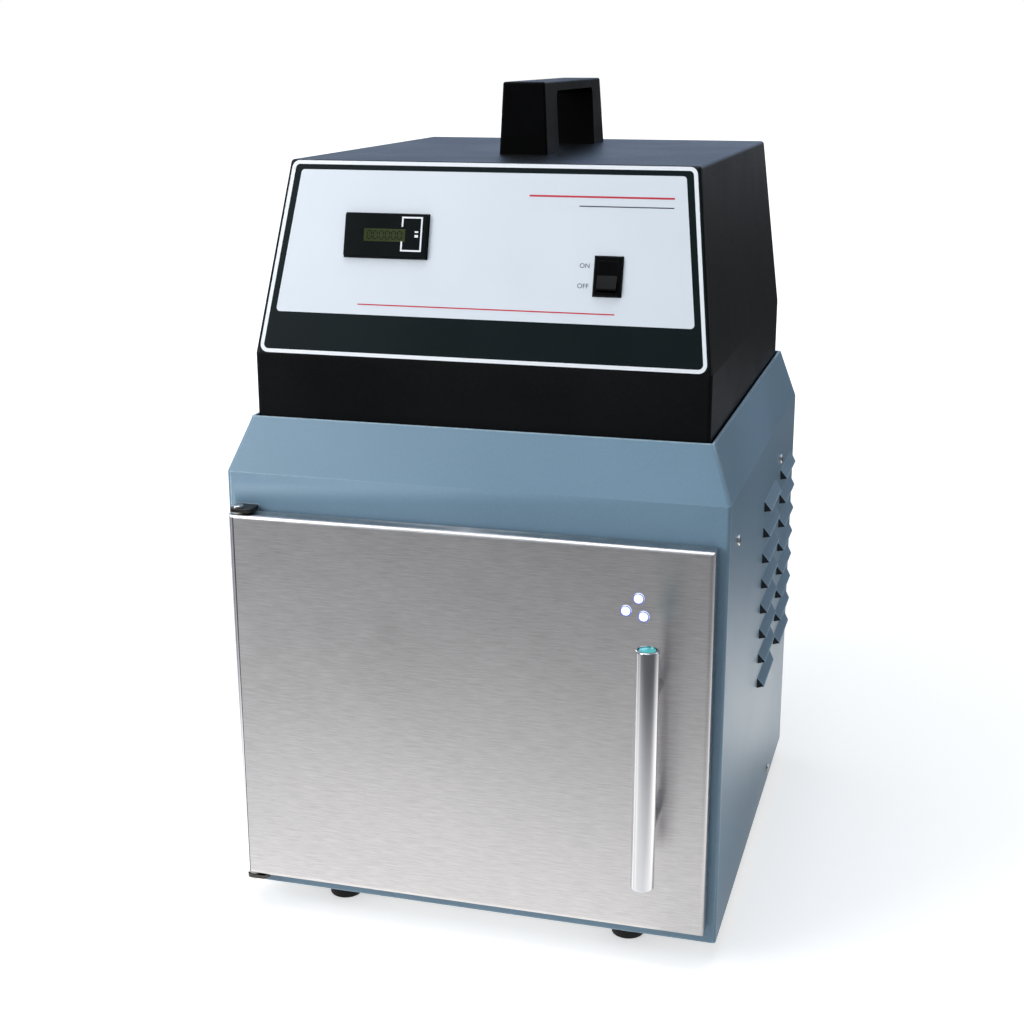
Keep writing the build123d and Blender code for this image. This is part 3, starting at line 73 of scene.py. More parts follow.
def add(tree, kind, settings=None, **inputs):
    """A node with its settings and its input values or links.

    An underscore in an input's name stands for a space, and i0, i1 and so on are inputs by number.
    """
    node = tree.nodes.new(kind)
    for key, value in (settings or {}).items():
        setattr(node, key, value)
    for key, value in inputs.items():
        label = int(key[1:]) if key[1:].isdigit() and key[0] == "i" else key.replace("_", " ")
        if isinstance(value, bpy.types.NodeSocket):
            tree.links.new(value, node.inputs[label])
        else:
            node.inputs[label].default_value = value
    return node


def maths(tree, operation, first, second=0.0):
    return add(tree, "ShaderNodeMath", {"operation": operation}, i0=first, i1=second).outputs[0]


def times(tree, first, second):
    return maths(tree, "MULTIPLY", first, second)


def remap(tree, value, low, high, to_low=0.0, to_high=1.0):
    """A smooth change from one value to another while the input goes from low to high."""
    node = add(
        tree, "ShaderNodeMapRange", {"interpolation_type": "SMOOTHSTEP"},
        Value=value, From_Min=low, From_Max=high, To_Min=to_low, To_Max=to_high,
    )
    return node.outputs["Result"]


def object_place(tree):
    """Where a point of the surface is on the object, in metres."""
    return tree.nodes.new("ShaderNodeTexCoord").outputs["Object"]


def noise(tree, place, scale, detail=3.0, roughness=0.55):
    node = add(
        tree, "ShaderNodeTexNoise", None, Vector=place, Scale=scale, Detail=detail, Roughness=roughness
    )
    return node.outputs["Fac"]


def make_speckle():
    """Orange peel and fine grit of a powder coat or of a moulded surface."""
    tree, enter, leave = shader_group(
        "speckle_grain",
        [("Scale", "value", 900.0), ("Grit", "value", 0.5)],
        [("Height", "value"), ("Fleck", "value")],
    )
    place = object_place(tree)
    coarse = noise(tree, place, enter.outputs["Scale"], 2.0, 0.5)
    fine = noise(tree, place, maths(tree, "MULTIPLY", enter.outputs["Scale"], 2.7), 2.0, 0.6)
    grit = maths(tree, "MULTIPLY", fine, enter.outputs["Grit"])
    tree.links.new(maths(tree, "ADD", coarse, grit), leave.inputs["Height"])
    tree.links.new(remap(tree, fine, 0.3, 0.7), leave.inputs["Fleck"])
    return tree


def make_brush():
    """Long fine scratches; Stretch holds how often the grain changes along each axis, per metre."""
    tree, enter, leave = shader_group(
        "brushed_grain",
        [("Stretch", "vector", (20.0, 20.0, 2500.0))],
        [("Height", "value"), ("Streak", "value")],
    )
    place = object_place(tree)
    fine_place = add(
        tree, "ShaderNodeVectorMath", {"operation": "MULTIPLY"}, i0=place, i1=enter.outputs["Stretch"]
    ).outputs[0]
    fine = noise(tree, fine_place, 1.0, 4.0, 0.7)
    tree.links.new(fine, leave.inputs["Height"])
    tree.links.new(remap(tree, fine, 0.32, 0.68), leave.inputs["Streak"])
    return tree


def make_tone():
    """Slow cloudy change over a surface, as of handling and of uneven paint."""
    tree, enter, leave = shader_group(
        "cloudy_tone", [("Scale", "value", 18.0)], [("Cloud", "value")]
    )
    cloud = noise(tree, object_place(tree), enter.outputs["Scale"], 3.0, 0.5)
    tree.links.new(remap(tree, cloud, 0.3, 0.7), leave.inputs["Cloud"])
    return tree


def make_wear_and_highlight():
    """Where a surface turns sharply: a mask for rubbed wear, and on the blue paint for a painted highlight
    along edges and folds.
    """
    tree, enter, leave = shader_group(
        "edge_wear_and_highlight",
        [("Radius", "value", 0.0006), ("Patch", "value", 260.0)],
        [("Edge", "value")],
    )
    round_normal = add(tree, "ShaderNodeBevel", {"samples": 4}, Radius=enter.outputs["Radius"])
    flat_normal = tree.nodes.new("ShaderNodeNewGeometry").outputs["Normal"]
    turn = add(
        tree, "ShaderNodeVectorMath", {"operation": "DOT_PRODUCT"}, i0=round_normal.outputs[0], i1=flat_normal
    ).outputs["Value"]
    edge = remap(tree, turn, 0.995, 0.9)
    patch = remap(tree, noise(tree, object_place(tree), enter.outputs["Patch"], 3.0), 0.3, 0.6, 0.45, 1.0)
    tree.links.new(maths(tree, "MULTIPLY", edge, patch), leave.inputs["Edge"])
    return tree


def make_dust():
    """A thin uneven film on faces that look up."""
    tree, enter, leave = shader_group(
        "settled_dust", [("Scale", "value", 120.0)], [("Film", "value")]
    )
    normal = tree.nodes.new("ShaderNodeNewGeometry").outputs["Normal"]
    up = add(tree, "ShaderNodeSeparateXYZ", None, Vector=normal).outputs["Z"]
    film = noise(tree, object_place(tree), enter.outputs["Scale"], 5.0, 0.65)
    settled = maths(tree, "MULTIPLY", remap(tree, up, 0.5, 0.95), remap(tree, film, 0.35, 0.75))
    tree.links.new(settled, leave.inputs["Film"])
    return tree


groups = {
    "speckle": make_speckle(),
    "brush": make_brush(),
    "tone": make_tone(),
    "wear_and_highlight": make_wear_and_highlight(),
    "dust": make_dust(),
}


# ---- materials ----


def linear(red, green, blue):
    """A colour given as it looks on a screen, from 0 to 255, as Blender's linear numbers."""
    values = [c / 255.0 for c in (red, green, blue)]
    return tuple(v / 12.92 if v <= 0.04045 else ((v + 0.055) / 1.055) ** 2.4 for v in values) + (1.0,)


def use(tree, group, **inputs):
    """One of the groups above, placed in a material with its own values."""
    node = add(tree, "ShaderNodeGroup", {"node_tree": groups[group]}, **inputs)
    return node.outputs


def blend_colour(tree, factor, first, second):
    node = tree.nodes.new("ShaderNodeMix")
    node.data_type = "RGBA"
    for socket, value in ((node.inputs[0], factor), (node.inputs[6], first), (node.inputs[7], second)):
        if isinstance(value, bpy.types.NodeSocket):
            tree.links.new(value, socket)
        else:
            socket.default_value = value
    return node.outputs[2]


def finish(
    name,
    colour,
    roughness,
    metallic=0.0,
    speckle=None,
    brush=None,
    bump=0.0,
    tone=0.08,
    tone_scale=18.0,
    fleck=0.0,
    rough_change=0.06,
    wear_and_highlight=None,
    dust=0.0,
    **sockets,
):
    """A material on one Principled shader: a colour that clouds and flecks, a grain, paler edges from wear
    and from painted highlight, and dust.

    speckle is a scale and how gritty it is, brush is the grain's changes per metre along each axis, bump is
    its depth in metres, and the edge finish is a colour (bare where worn, on the blue paint a painted
    highlight), how far in from the edge it goes, and how strong it is.
    """
    made = bpy.data.materials.new(name)
    made.use_nodes = True
    tree = made.node_tree
    shader = tree.nodes["Principled BSDF"]
    shader.inputs["Metallic"].default_value = metallic
    for key, value in sockets.items():
        shader.inputs[key.replace("_", " ")].default_value = value
    darker = tuple(c * (1.0 - 2.0 * tone) for c in colour[:3]) + (1.0,)
    lighter = tuple(min(1.0, c * (1.0 + tone)) for c in colour[:3]) + (1.0,)
    cloud = use(tree, "tone", Scale=tone_scale)["Cloud"]
    shade = blend_colour(tree, cloud, darker, lighter)
    grain = None
    if speckle:
        outputs = use(tree, "speckle", Scale=speckle[0], Grit=speckle[1])
        grain, mark = outputs["Height"], outputs["Fleck"]
    if brush:
        outputs = use(tree, "brush", Stretch=brush)
        grain, mark = outputs["Height"], outputs["Streak"]
    rough = cloud
    if grain:
        lit = tuple(min(1.0, c * (1.0 + fleck)) for c in colour[:3]) + (1.0,)
        shade = blend_colour(tree, maths(tree, "MULTIPLY", mark, 0.5), shade, lit)
        rough = maths(tree, "MULTIPLY", maths(tree, "ADD", cloud, mark), 0.5)
        relief = add(tree, "ShaderNodeBump", None, Strength=1.0, Distance=bump, Height=grain)
        tree.links.new(relief.outputs["Normal"], shader.inputs["Normal"])
    if wear_and_highlight:
        edge = use(tree, "wear_and_highlight", Radius=wear_and_highlight[1])["Edge"]
        shade = blend_colour(tree, maths(tree, "MULTIPLY", edge, wear_and_highlight[2]), shade, wear_and_highlight[0])
    if dust:
        film = use(tree, "dust")["Film"]
        shade = blend_colour(tree, maths(tree, "MULTIPLY", film, dust), shade, linear(190, 188, 182))
    tree.links.new(shade, shader.inputs["Base Color"])
    level = remap(tree, rough, 0.0, 1.0, roughness - rough_change, roughness + rough_change)
    tree.links.new(level, shader.inputs["Roughness"])
    return made


# The pale edge colour at full strength is a painted highlight along the sheet's folds and top edges, not bare
# metal.
blue_paint = finish(
    "blue_grey_powder_coat", linear(111, 140, 160), 0.4, speckle=(900.0, 0.7), bump=0.00005, tone=0.035,
    tone_scale=9.0, fleck=0.24, wear_and_highlight=(linear(190, 212, 222), 0.0012, 1.0), dust=0.05,
    Specular_IOR_Level=0.5,
)
black_paint = finish(
    "black_textured_coat", linear(8, 9, 10), 0.36, speckle=(850.0, 0.9), bump=0.00009, tone=0.12,
    tone_scale=12.0, fleck=1.0, wear_and_highlight=(linear(60, 64, 72), 0.0008, 0.6), dust=0.012,
    Specular_IOR_Level=0.16,
)
brushed_steel = finish(
    "brushed_stainless", linear(190, 188, 188), 0.32, 1.0, brush=(80.0, 80.0, 1800.0), bump=0.000003,
    tone=0.006, fleck=0.5, rough_change=0.02, Anisotropic=0.82, Anisotropic_Rotation=0.25,
)
polished_steel = finish(
    "polished_stainless", linear(203, 203, 206), 0.08, 1.0, brush=(900.0, 900.0, 30.0), bump=0.000002,
    tone=0.02, fleck=0.05, rough_change=0.03,
)
zinc = finish(
    "zinc_plate", linear(168, 170, 172), 0.34, 1.0, speckle=(220.0, 0.8), bump=0.00001, tone=0.08,
    tone_scale=60.0, fleck=0.15, rough_change=0.1,
)
bright_sheet = finish(
    "bright_aluminium", linear(222, 223, 225), 0.16, 1.0, brush=(1800.0, 1800.0, 14.0), bump=0.000004,
    tone=0.03, fleck=0.06, rough_change=0.06,
)
dark_steel = finish(
    "oiled_dark_steel", linear(70, 68, 66), 0.38, 1.0, speckle=(500.0, 0.7), bump=0.00001, tone=0.12,
    tone_scale=90.0, fleck=0.3, rough_change=0.12, wear_and_highlight=(linear(170, 168, 164), 0.0004, 0.8),
)
screw_steel = finish(
    "plated_screw_steel", linear(190, 190, 188), 0.24, 1.0, speckle=(900.0, 0.5), bump=0.000004, tone=0.06,
    tone_scale=300.0, fleck=0.1, rough_change=0.1,
)
black_plastic = finish(
    "moulded_black_plastic", linear(7, 7, 8), 0.36, speckle=(1500.0, 0.5), bump=0.00003, tone=0.1,
    tone_scale=30.0, fleck=0.4, wear_and_highlight=(linear(40, 42, 44), 0.0005, 0.5), dust=0.008,
    Specular_IOR_Level=0.04,
)
meter_plastic = finish(
    "meter_case_plastic", linear(11, 17, 18), 0.34, speckle=(1500.0, 0.4), bump=0.00001, tone=0.08,
    tone_scale=40.0, fleck=0.3, Specular_IOR_Level=0.05,
)
# Painted shade: a dark finish for the louvres' closed end faces, standing in for the shadow in open mouths.
louvre_painted_shade = finish(
    "louvre_nose_painted_shade", linear(22, 28, 33), 0.6, speckle=(900.0, 0.6), bump=0.00004, tone=0.12,
    tone_scale=40.0, fleck=0.4, Specular_IOR_Level=0.15,
)
teal_cap = finish(
    "teal_anodised_cap", linear(84, 212, 210), 0.22, 0.25, brush=(1600.0, 1600.0, 200.0), bump=0.000003,
    tone=0.03, fleck=0.08, Coat_Weight=0.4,
)
bright_fold = finish(
    "bright_folded_edge", linear(244, 243, 247), 0.16, 1.0, brush=(1200.0, 1200.0, 20.0), bump=0.000003,
    tone=0.015, fleck=0.04, rough_change=0.03,
)
switch_plastic = finish(
    "glossy_switch_plastic", linear(6, 6, 7), 0.2, speckle=(1800.0, 0.3), bump=0.000006, tone=0.08,
    tone_scale=80.0, fleck=0.2, wear_and_highlight=(linear(50, 50, 52), 0.0004, 0.5),
    Specular_IOR_Level=0.1,
)
rubber = finish(
    "foot_rubber", linear(12, 12, 13), 0.7, speckle=(700.0, 0.8), bump=0.00006, tone=0.15, tone_scale=60.0,
    fleck=0.5, dust=0.1, Specular_IOR_Level=0.25,
)
foam = finish(
    "closed_cell_foam", linear(27, 27, 28), 0.9, speckle=(1100.0, 1.0), bump=0.00025, tone=0.15,
    tone_scale=80.0, fleck=0.9,
)
label_black = finish(
    "label_black_print", linear(16, 26, 28), 0.38, speckle=(1300.0, 0.4), bump=0.00001, tone=0.05,
    tone_scale=20.0, fleck=0.25, Specular_IOR_Level=0.08,
)
label_pale = finish(
    "label_pale_print", linear(220, 227, 234), 0.42, speckle=(1300.0, 0.4), bump=0.00001, tone=0.012,
    tone_scale=14.0, fleck=0.01,
)
label_white = finish(
    "label_white_line", linear(238, 241, 245), 0.36, speckle=(1300.0, 0.4), bump=0.00001, tone=0.01,
    fleck=0.01,
)
label_ink = finish(
    "label_grey_ink", linear(52, 56, 74), 0.4, speckle=(1300.0, 0.4), bump=0.00001, tone=0.05, fleck=0.1
)
label_red = finish(
    "label_red_ink", linear(196, 34, 62), 0.4, speckle=(1300.0, 0.4), bump=0.00001, tone=0.04, fleck=0.05
)
display_green = finish(
    "display_glass_green", linear(52, 62, 32), 0.14, speckle=(2500.0, 0.3), bump=0.000002, tone=0.12,
    tone_scale=70.0, fleck=0.1, Specular_IOR_Level=0.3,
)
display_dark = finish(
    "display_segment", linear(9, 11, 8), 0.3, speckle=(2500.0, 0.3), bump=0.000002, tone=0.05,
    Specular_IOR_Level=0.08,
)
# The lens's emission is painted glow: the lamp inside that would light it gives no light here.
lens_painted_glow = finish(
    "lens_painted_glow", linear(236, 242, 255), 0.2, speckle=(1500.0, 0.3), bump=0.000002, tone=0.02,
    Emission_Color=linear(222, 232, 255), Emission_Strength=0.9,
)
# An anodised blue rim; its emission is painted glow, not light of its own.
rim_painted_glow = finish(
    "anodised_rim_painted_glow", linear(84, 100, 228), 0.28, 0.7, brush=(1500.0, 200.0, 1500.0), bump=0.000004,
    tone=0.05, fleck=0.2, Emission_Color=linear(60, 80, 220), Emission_Strength=0.35,
)
nylon = finish("white_nylon", linear(214, 212, 204), 0.42, speckle=(900.0, 0.5), bump=0.00001, tone=0.04)
nickel = finish(
    "nickel_plate", linear(196, 194, 188), 0.18, 1.0, speckle=(700.0, 0.5), bump=0.000003, tone=0.05,
    tone_scale=200.0, fleck=0.08,
)
ceramic = finish(
    "glazed_ceramic", linear(226, 221, 208), 0.28, speckle=(420.0, 0.5), bump=0.00002, tone=0.04,
    tone_scale=60.0, fleck=0.05, Coat_Weight=0.4,
)
lamination = finish(
    "stacked_lamination", linear(88, 84, 82), 0.42, 0.9, brush=(2400.0, 16.0, 16.0), bump=0.00006, tone=0.1,
    tone_scale=40.0, fleck=0.3,
)
potting = finish(
    "potting_resin", linear(30, 28, 26), 0.3, speckle=(160.0, 0.5), bump=0.00008, tone=0.12, tone_scale=40.0,
    fleck=0.3,
)
can = finish(
    "drawn_aluminium_can", linear(186, 188, 190), 0.26, 1.0, brush=(120.0, 120.0, 1600.0), bump=0.000006,
    tone=0.05, fleck=0.12, rough_change=0.08,
)
glass = finish(
    "filter_glass", linear(240, 244, 248), 0.06, speckle=(60.0, 0.3), bump=0.000002, tone=0.01,
    rough_change=0.02, Transmission_Weight=1.0, IOR=1.47,
)

# The CAD nodes that each finish goes on.
dressed = {
    blue_paint: "front_fascia side_panel_right side_panel_left rear_panel",
    black_paint: "head_cover head_rear_panel",
    brushed_steel: "door_skin",
    polished_steel: "door_pull_bar door_pull_posts",
    zinc: "base_pan lamp_deck work_plate door_inner_panel door_spacers head_base_plate window_retainer "
    "socket_bracket",
    bright_sheet: "liner_right liner_left liner_rear reflector",
    dark_steel: "hinge_bracket_upper hinge_bracket_lower",
    screw_steel: "foot_screws hinge_pins hinge_bracket_screws side_screws rear_screws door_pull_screws "
    "strike_plates head_rear_screws carry_handle_screws fan_guard fan_screws",
    meter_plastic: "hour_meter",
    black_plastic: "interlock_switch carry_handle fan_frame power_inlet fuse_holder fan_rotor",
    switch_plastic: "power_switch mains_switch power_rocker mains_rocker",
    rubber: "rubber_feet",
    foam: "lamp_gasket door_seal",
    label_black: "front_label",
    display_green: "hour_display",
    lens_painted_glow: "view_windows",
    nylon: "hinge_bushes interlock_plunger",
    nickel: "catch_magnets",
    glass: "uv_window lamp_bulb",
    ceramic: "lamp_socket",
    lamination: "ballast",
    potting: "igniter",
    can: "capacitor",
}
for surface, names in dressed.items():
    for name in names.split():
        node = nodes[name]
        if not node.material_slots:
            node.data.materials.append(surface)
        for slot in node.material_slots:
            slot.material = surface


# ---- mesh helpers ----


def keep(name, mesh, surface, body, replaces=()):
    """Makes a finished mesh a piece of the object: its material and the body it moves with."""
    piece = bpy.data.objects.new(name, mesh)
    bpy.context.scene.collection.objects.link(piece)
    mesh.materials.clear()
    mesh.materials.append(surface)
    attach(piece, body)
    if replaces:
        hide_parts(*replaces)
    return piece


def rounded(corners, radius, steps=8):
    """The points of a polygon, given anticlockwise, with each corner turned in an arc."""
    points = []
    count = len(corners)
    for index, corner in enumerate(corners):
        here = Vector(corner)
        back = (Vector(corners[index - 1]) - here).normalized()
        ahead = (Vector(corners[(index + 1) % count]) - here).normalized()
        half = back.angle(ahead) / 2
        reach = radius / math.tan(half)
        centre = here + (back + ahead).normalized() * (radius / math.sin(half))
        start = here + back * reach - centre
        end = here + ahead * reach - centre
        sweep = start.angle_signed(end)
        for step in range(steps + 1):
            turn = Matrix.Rotation(-sweep * step / steps, 2)
            points.append(centre + turn @ start)
    return points


def plate(name, outlines, low, high, place):
    """A thin closed plate, in mm in the given place: the first outline is its edge, the others are holes."""
    flat = [point for outline in outlines for point in outline]
    triangles = tessellate_polygon([[Vector((p[0], p[1], 0.0)) for p in outline] for outline in outlines])
    form = bmesh.new()
    rows = []
    for height in (low, high):
        rows.append([form.verts.new(place @ (Vector((p[0], p[1], height)) * mm)) for p in flat])
    for triangle in triangles:
        for row in rows:
            form.faces.new([row[i] for i in triangle])
    start = 0
    for outline in outlines:
        count = len(outline)
        for step in range(count):
            a, b = start + step, start + (step + 1) % count
            form.faces.new((rows[0][a], rows[0][b], rows[1][b], rows[1][a]))
        start += count
    bmesh.ops.recalc_face_normals(form, faces=form.faces[:])
    mesh = bpy.data.meshes.new(name)
    form.to_mesh(mesh)
    form.free()
    return mesh


def box_outline(low_x, low_s, high_x, high_s):
    """A rectangle from its lower left to its upper right corner, s being the way up the slope."""
    return [(low_x, low_s), (high_x, low_s), (high_x, high_s), (low_x, high_s)]


def lean_outline(low, high, low_half, high_half):
    """A symmetric outline up the slope, with its half width at its lower and its upper end."""
    return [(-low_half, low), (low_half, low), (high_half, high), (-high_half, high)]


# ---- the printed label ----

print_low, print_high = label_face + 0.01, label_face + 0.07
ink_high = label_face + 0.12
border_outside = rounded(lean_outline(0.9, 108.6, 126.8, 113.7), 4.4)
border_inside = rounded(lean_outline(3.0, 106.5, 124.5, 111.8), 2.6)
field_edge = rounded(lean_outline(24.1, 103.6, 118.3, 108.3), 2.0)
meter_hole = box_outline(-80.1, 55.3, -31.1, 80.3)
switch_hole = box_outline(62.2, 38.8, 78.2, 60.8)

border = plate("label_border_line", [border_outside, border_inside], print_low, print_high, slope)
keep("label_border_line", border, label_white, "lamp_head")
field = plate("label_pale_field", [field_edge, meter_hole, switch_hole], print_low, print_high, slope)
keep("label_pale_field", field, label_pale, "lamp_head")


def rule(name, low_x, high_x, at, thick, surface):
    """A printed line across the label, as high up the slope as at says."""
    line = plate(name, [box_outline(low_x, at, high_x, at + thick)], print_high, ink_high, slope)
    keep(name, line, surface, "lamp_head")


rule("label_rule_red", 24.0, 103.0, 91.2, 1.0, label_red)
rule("label_rule_grey", 52.0, 103.0, 86.4, 0.6, label_ink)
rule("label_rule_low", -70.0, 75.0, 29.4, 0.7, label_red)


def switch_word(name, text, at):
    """Flat raised letters beside the switch, as high up the slope as at says."""
    curve = bpy.data.curves.new(name, "FONT")
    curve.body = text
    curve.size = letter_size * mm
    curve.align_x = "RIGHT"
    curve.extrude = letter_rise * mm
    maker = bpy.data.objects.new(name + "_maker", curve)
    bpy.context.scene.collection.objects.link(maker)
    bpy.context.view_layer.update()
    mesh = bpy.data.meshes.new_from_object(maker)
    bpy.data.objects.remove(maker)
    mesh.name = name
    mesh.transform(slope @ Matrix.Translation(Vector((word_end, at, print_high + letter_rise)) * mm))
    keep(name, mesh, label_ink, "lamp_head")


letter_size, letter_rise, word_end = 3.6, 0.03, 60.0
switch_word("switch_word_on", "ON", 54.0)
switch_word("switch_word_off", "OFF", 43.2)


# ---- repeated pieces, made with geometry nodes ----


def point_mesh(name, places, turns=None):
    """Loose points, given in mm; turns are their rotations in degrees, kept as an attribute."""
    mesh = bpy.data.meshes.new(name)
    mesh.from_pydata([tuple(Vector(p) * mm) for p in places], [], [])
    angles = mesh.attributes.new("turn", "FLOAT_VECTOR", "POINT")
    for index in range(len(places)):
        turn = turns[index] if turns else (0.0, 0.0, 0.0)
        angles.data[index].vector = [math.radians(a) for a in turn]
    return mesh


def piece_tree(name, sizes):
    """A geometry tree with a named input for each size in mm, and a material input."""
    tree = bpy.data.node_groups.new(name, "GeometryNodeTree")
    tree.interface.new_socket("Geometry", in_out="INPUT", socket_type="NodeSocketGeometry")
    for label in sizes:
        tree.interface.new_socket(label, in_out="INPUT", socket_type="NodeSocketFloat")
    tree.interface.new_socket("Finish", in_out="INPUT", socket_type="NodeSocketMaterial")
    tree.interface.new_socket("Geometry", in_out="OUTPUT", socket_type="NodeSocketGeometry")
    return tree, tree.nodes.new("NodeGroupInput").outputs, tree.nodes.new("NodeGroupOutput").inputs


def stamp(tree, enter, leave, shape):
    """Ends a tree: the shape on each point, turned as the point says, made real and given its finish."""
    turn = add(
        tree, "GeometryNodeInputNamedAttribute", {"data_type": "FLOAT_VECTOR"}, Name="turn"
    ).outputs[0]
    turn = add(tree, "FunctionNodeEulerToRotation", None, Euler=turn).outputs[0]
    spread = add(
        tree, "GeometryNodeInstanceOnPoints", None, Points=enter["Geometry"], Instance=shape, Rotation=turn
    ).outputs[0]
    close(tree, enter, leave, spread)


def close(tree, enter, leave, shape):
    """Ends a tree: the shape made real and given its finish."""
    real = add(tree, "GeometryNodeRealizeInstances", None, Geometry=shape).outputs[0]
    done = add(tree, "GeometryNodeSetMaterial", None, Geometry=real, Material=enter["Finish"]).outputs[0]
    tree.links.new(done, leave["Geometry"])


def grown(tree, mesh, selection, offset, scale=None):
    """Pulls faces out by an offset, then scales the new tops; returns the mesh and the new tops."""
    pull = add(
        tree, "GeometryNodeExtrudeMesh", {"mode": "FACES"},
        Mesh=mesh, Selection=selection, Offset_Scale=offset,
    )
    pull.inputs["Individual"].default_value = False
    mesh, top = pull.outputs["Mesh"], pull.outputs["Top"]
    if scale is not None:
        mesh = add(
            tree, "GeometryNodeScaleElements", None, Geometry=mesh, Selection=top, Scale=scale
        ).outputs[0]
    return mesh, top


def circle(tree, points, radius):
    return add(
        tree, "GeometryNodeCurvePrimitiveCircle", None, Resolution=points, Radius=radius
    ).outputs[0]


def closed_by(tree, mesh, base):
    """The mesh with its base face turned over and joined to it."""
    under = add(tree, "GeometryNodeFlipFaces", None, Mesh=base).outputs[0]
    whole = add(tree, "GeometryNodeJoinGeometry", None)
    tree.links.new(mesh, whole.inputs[0])
    tree.links.new(under, whole.inputs[0])
    return whole.outputs[0]


def run_tree(tree, mesh, surface, sizes):
    """Runs a tree on a mesh and returns a plain mesh in the same place."""
    maker = bpy.data.objects.new(mesh.name + "_maker", mesh)
    bpy.context.scene.collection.objects.link(maker)
    modifier = maker.modifiers.new("made", "NODES")
    modifier.node_group = tree
    for item in tree.interface.items_tree:
        if item.in_out == "INPUT" and item.name in sizes:
            modifier[item.identifier] = sizes[item.name] * mm
        if item.in_out == "INPUT" and item.name == "Finish":
            modifier[item.identifier] = surface
    bpy.context.view_layer.update()
    ready = maker.evaluated_get(bpy.context.evaluated_depsgraph_get())
    plain = bpy.data.meshes.new_from_object(ready)
    maker.modifiers.remove(modifier)
    bpy.data.objects.remove(maker)
    tidy = bmesh.new()
    tidy.from_mesh(plain)
    bmesh.ops.remove_doubles(tidy, verts=tidy.verts[:], dist=0.002 * mm)
    bmesh.ops.recalc_face_normals(tidy, faces=tidy.faces[:])
    tidy.to_mesh(plain)
    tidy.free()
    plain.shade_smooth()
    plain.set_sharp_from_angle(angle=math.radians(35.0))
    return plain


def make_button_tree():
    """A round button standing on its point: a straight side, then a crown in four steps."""
    tree, enter, leave = piece_tree("round_button", ["Radius", "Side Height", "Crown Height"])
    disc = add(
        tree, "GeometryNodeMeshCircle", {"fill_type": "NGON"}, Vertices=40, Radius=enter["Radius"]
    ).outputs[0]
    mesh, top = grown(tree, disc, True, enter["Side Height"])
    for share, scale in ((0.45, 0.86), (0.3, 0.72), (0.17, 0.6), (0.08, 0.4)):
        mesh, top = grown(tree, mesh, top, times(tree, enter["Crown Height"], share), scale)
    stamp(tree, enter, leave, closed_by(tree, mesh, disc))
    return tree


def make_ring_tree():
    """A round-section ring lying flat on its point."""
    tree, enter, leave = piece_tree("round_ring", ["Ring Radius", "Wire Radius"])
    path = circle(tree, 48, enter["Ring Radius"])
    section = circle(tree, 12, enter["Wire Radius"])
    ring = add(tree, "GeometryNodeCurveToMesh", None, Curve=path, Profile_Curve=section).outputs[0]
    stamp(tree, enter, leave, ring)
    return tree


def make_segment_tree():
    """One pointed bar of a display digit, lying along X on its point."""
    tree, enter, leave = piece_tree("display_segment", ["Length", "Width", "Thickness"])
    half = times(tree, enter["Length"], 0.5)
    outline = add(tree, "GeometryNodeMeshCircle", {"fill_type": "NGON"}, Vertices=4, Radius=half).outputs[0]
    squeeze = maths(tree, "DIVIDE", enter["Width"], enter["Length"])
    factors = add(tree, "ShaderNodeCombineXYZ", None, X=1.0, Y=squeeze, Z=1.0).outputs[0]
    thin = add(tree, "GeometryNodeTransform", None, Geometry=outline, Scale=factors).outputs[0]
    mesh, top = grown(tree, thin, True, enter["Thickness"])
    stamp(tree, enter, leave, closed_by(tree, mesh, thin))
    return tree


button_tree = make_button_tree()
ring_tree = make_ring_tree()
segment_tree = make_segment_tree()

# The three windows in the door, with a painted glow: a crowned lens in each collar, with a blue ring round
# it.
low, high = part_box("view_windows")
window_face = low.y / mm
window_places = [(98.3, window_face, 219.7), (91.5, window_face, 212.3), (101.2, window_face, 209.9)]
facing_front = [(90.0, 0.0, 0.0)] * len(window_places)
lenses = run_tree(
    button_tree, point_mesh("window_lenses", window_places, facing_front), lens_painted_glow,
    {"Radius": 2.5, "Side Height": 0.15, "Crown Height": 0.5},
)
keep("window_lenses", lenses, lens_painted_glow, "door")
rims = run_tree(
    ring_tree, point_mesh("window_rims", window_places, facing_front), rim_painted_glow,
    {"Ring Radius": 2.72, "Wire Radius": 0.26},
)
keep("window_rims", rims, rim_painted_glow, "door")

# Teal plugs that stand on the bottoms of the bores in the pull bar's two ends.
bore_depth = 12.0
low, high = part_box("door_pull_bar")
bar_x, bar_y = (low.x + high.x) / 2 / mm, (low.y + high.y) / 2 / mm
plug_places = [(bar_x, bar_y, high.z / mm - bore_depth), (bar_x, bar_y, low.z / mm + bore_depth)]
plugs = run_tree(
    button_tree, point_mesh("pull_bar_plugs", plug_places, [(0.0, 0.0, 0.0), (180.0, 0.0, 0.0)]), teal_cap,
    {"Radius": 4.6, "Side Height": 11.6, "Crown Height": 0.1},
)
keep("pull_bar_plugs", plugs, teal_cap, "door")

# The hour meter's display: six figures, all at nought, each of six segments.
digit_places, digit_turns = [], []
display_mid = (-56.05, 67.85)
display_face = label_face + 2.72
digit_height, digit_width, digit_pitch = 4.4, 2.3, 3.5
for index in range(6):
    centre = display_mid[0] + (index - 2.5) * digit_pitch
    for side, rise in ((-1, 0.5), (1, 0.5), (-1, -0.5), (1, -0.5)):
        across, up_slope = centre + side * digit_width / 2, display_mid[1] + rise * digit_height / 2
        digit_places.append((across, up_slope, display_face))
        digit_turns.append((0.0, 0.0, 90.0))
    for rise in (-1, 1):
        digit_places.append((centre, display_mid[1] + rise * digit_height / 2, display_face))
        digit_turns.append((0.0, 0.0, 0.0))
digit_mesh = run_tree(
    segment_tree, point_mesh("display_digits", digit_places, digit_turns), display_dark,
    {"Length": 2.0, "Width": 0.62, "Thickness": 0.05},
)
digit_mesh.transform(slope)
keep("display_digits", digit_mesh, display_dark, "lamp_head")


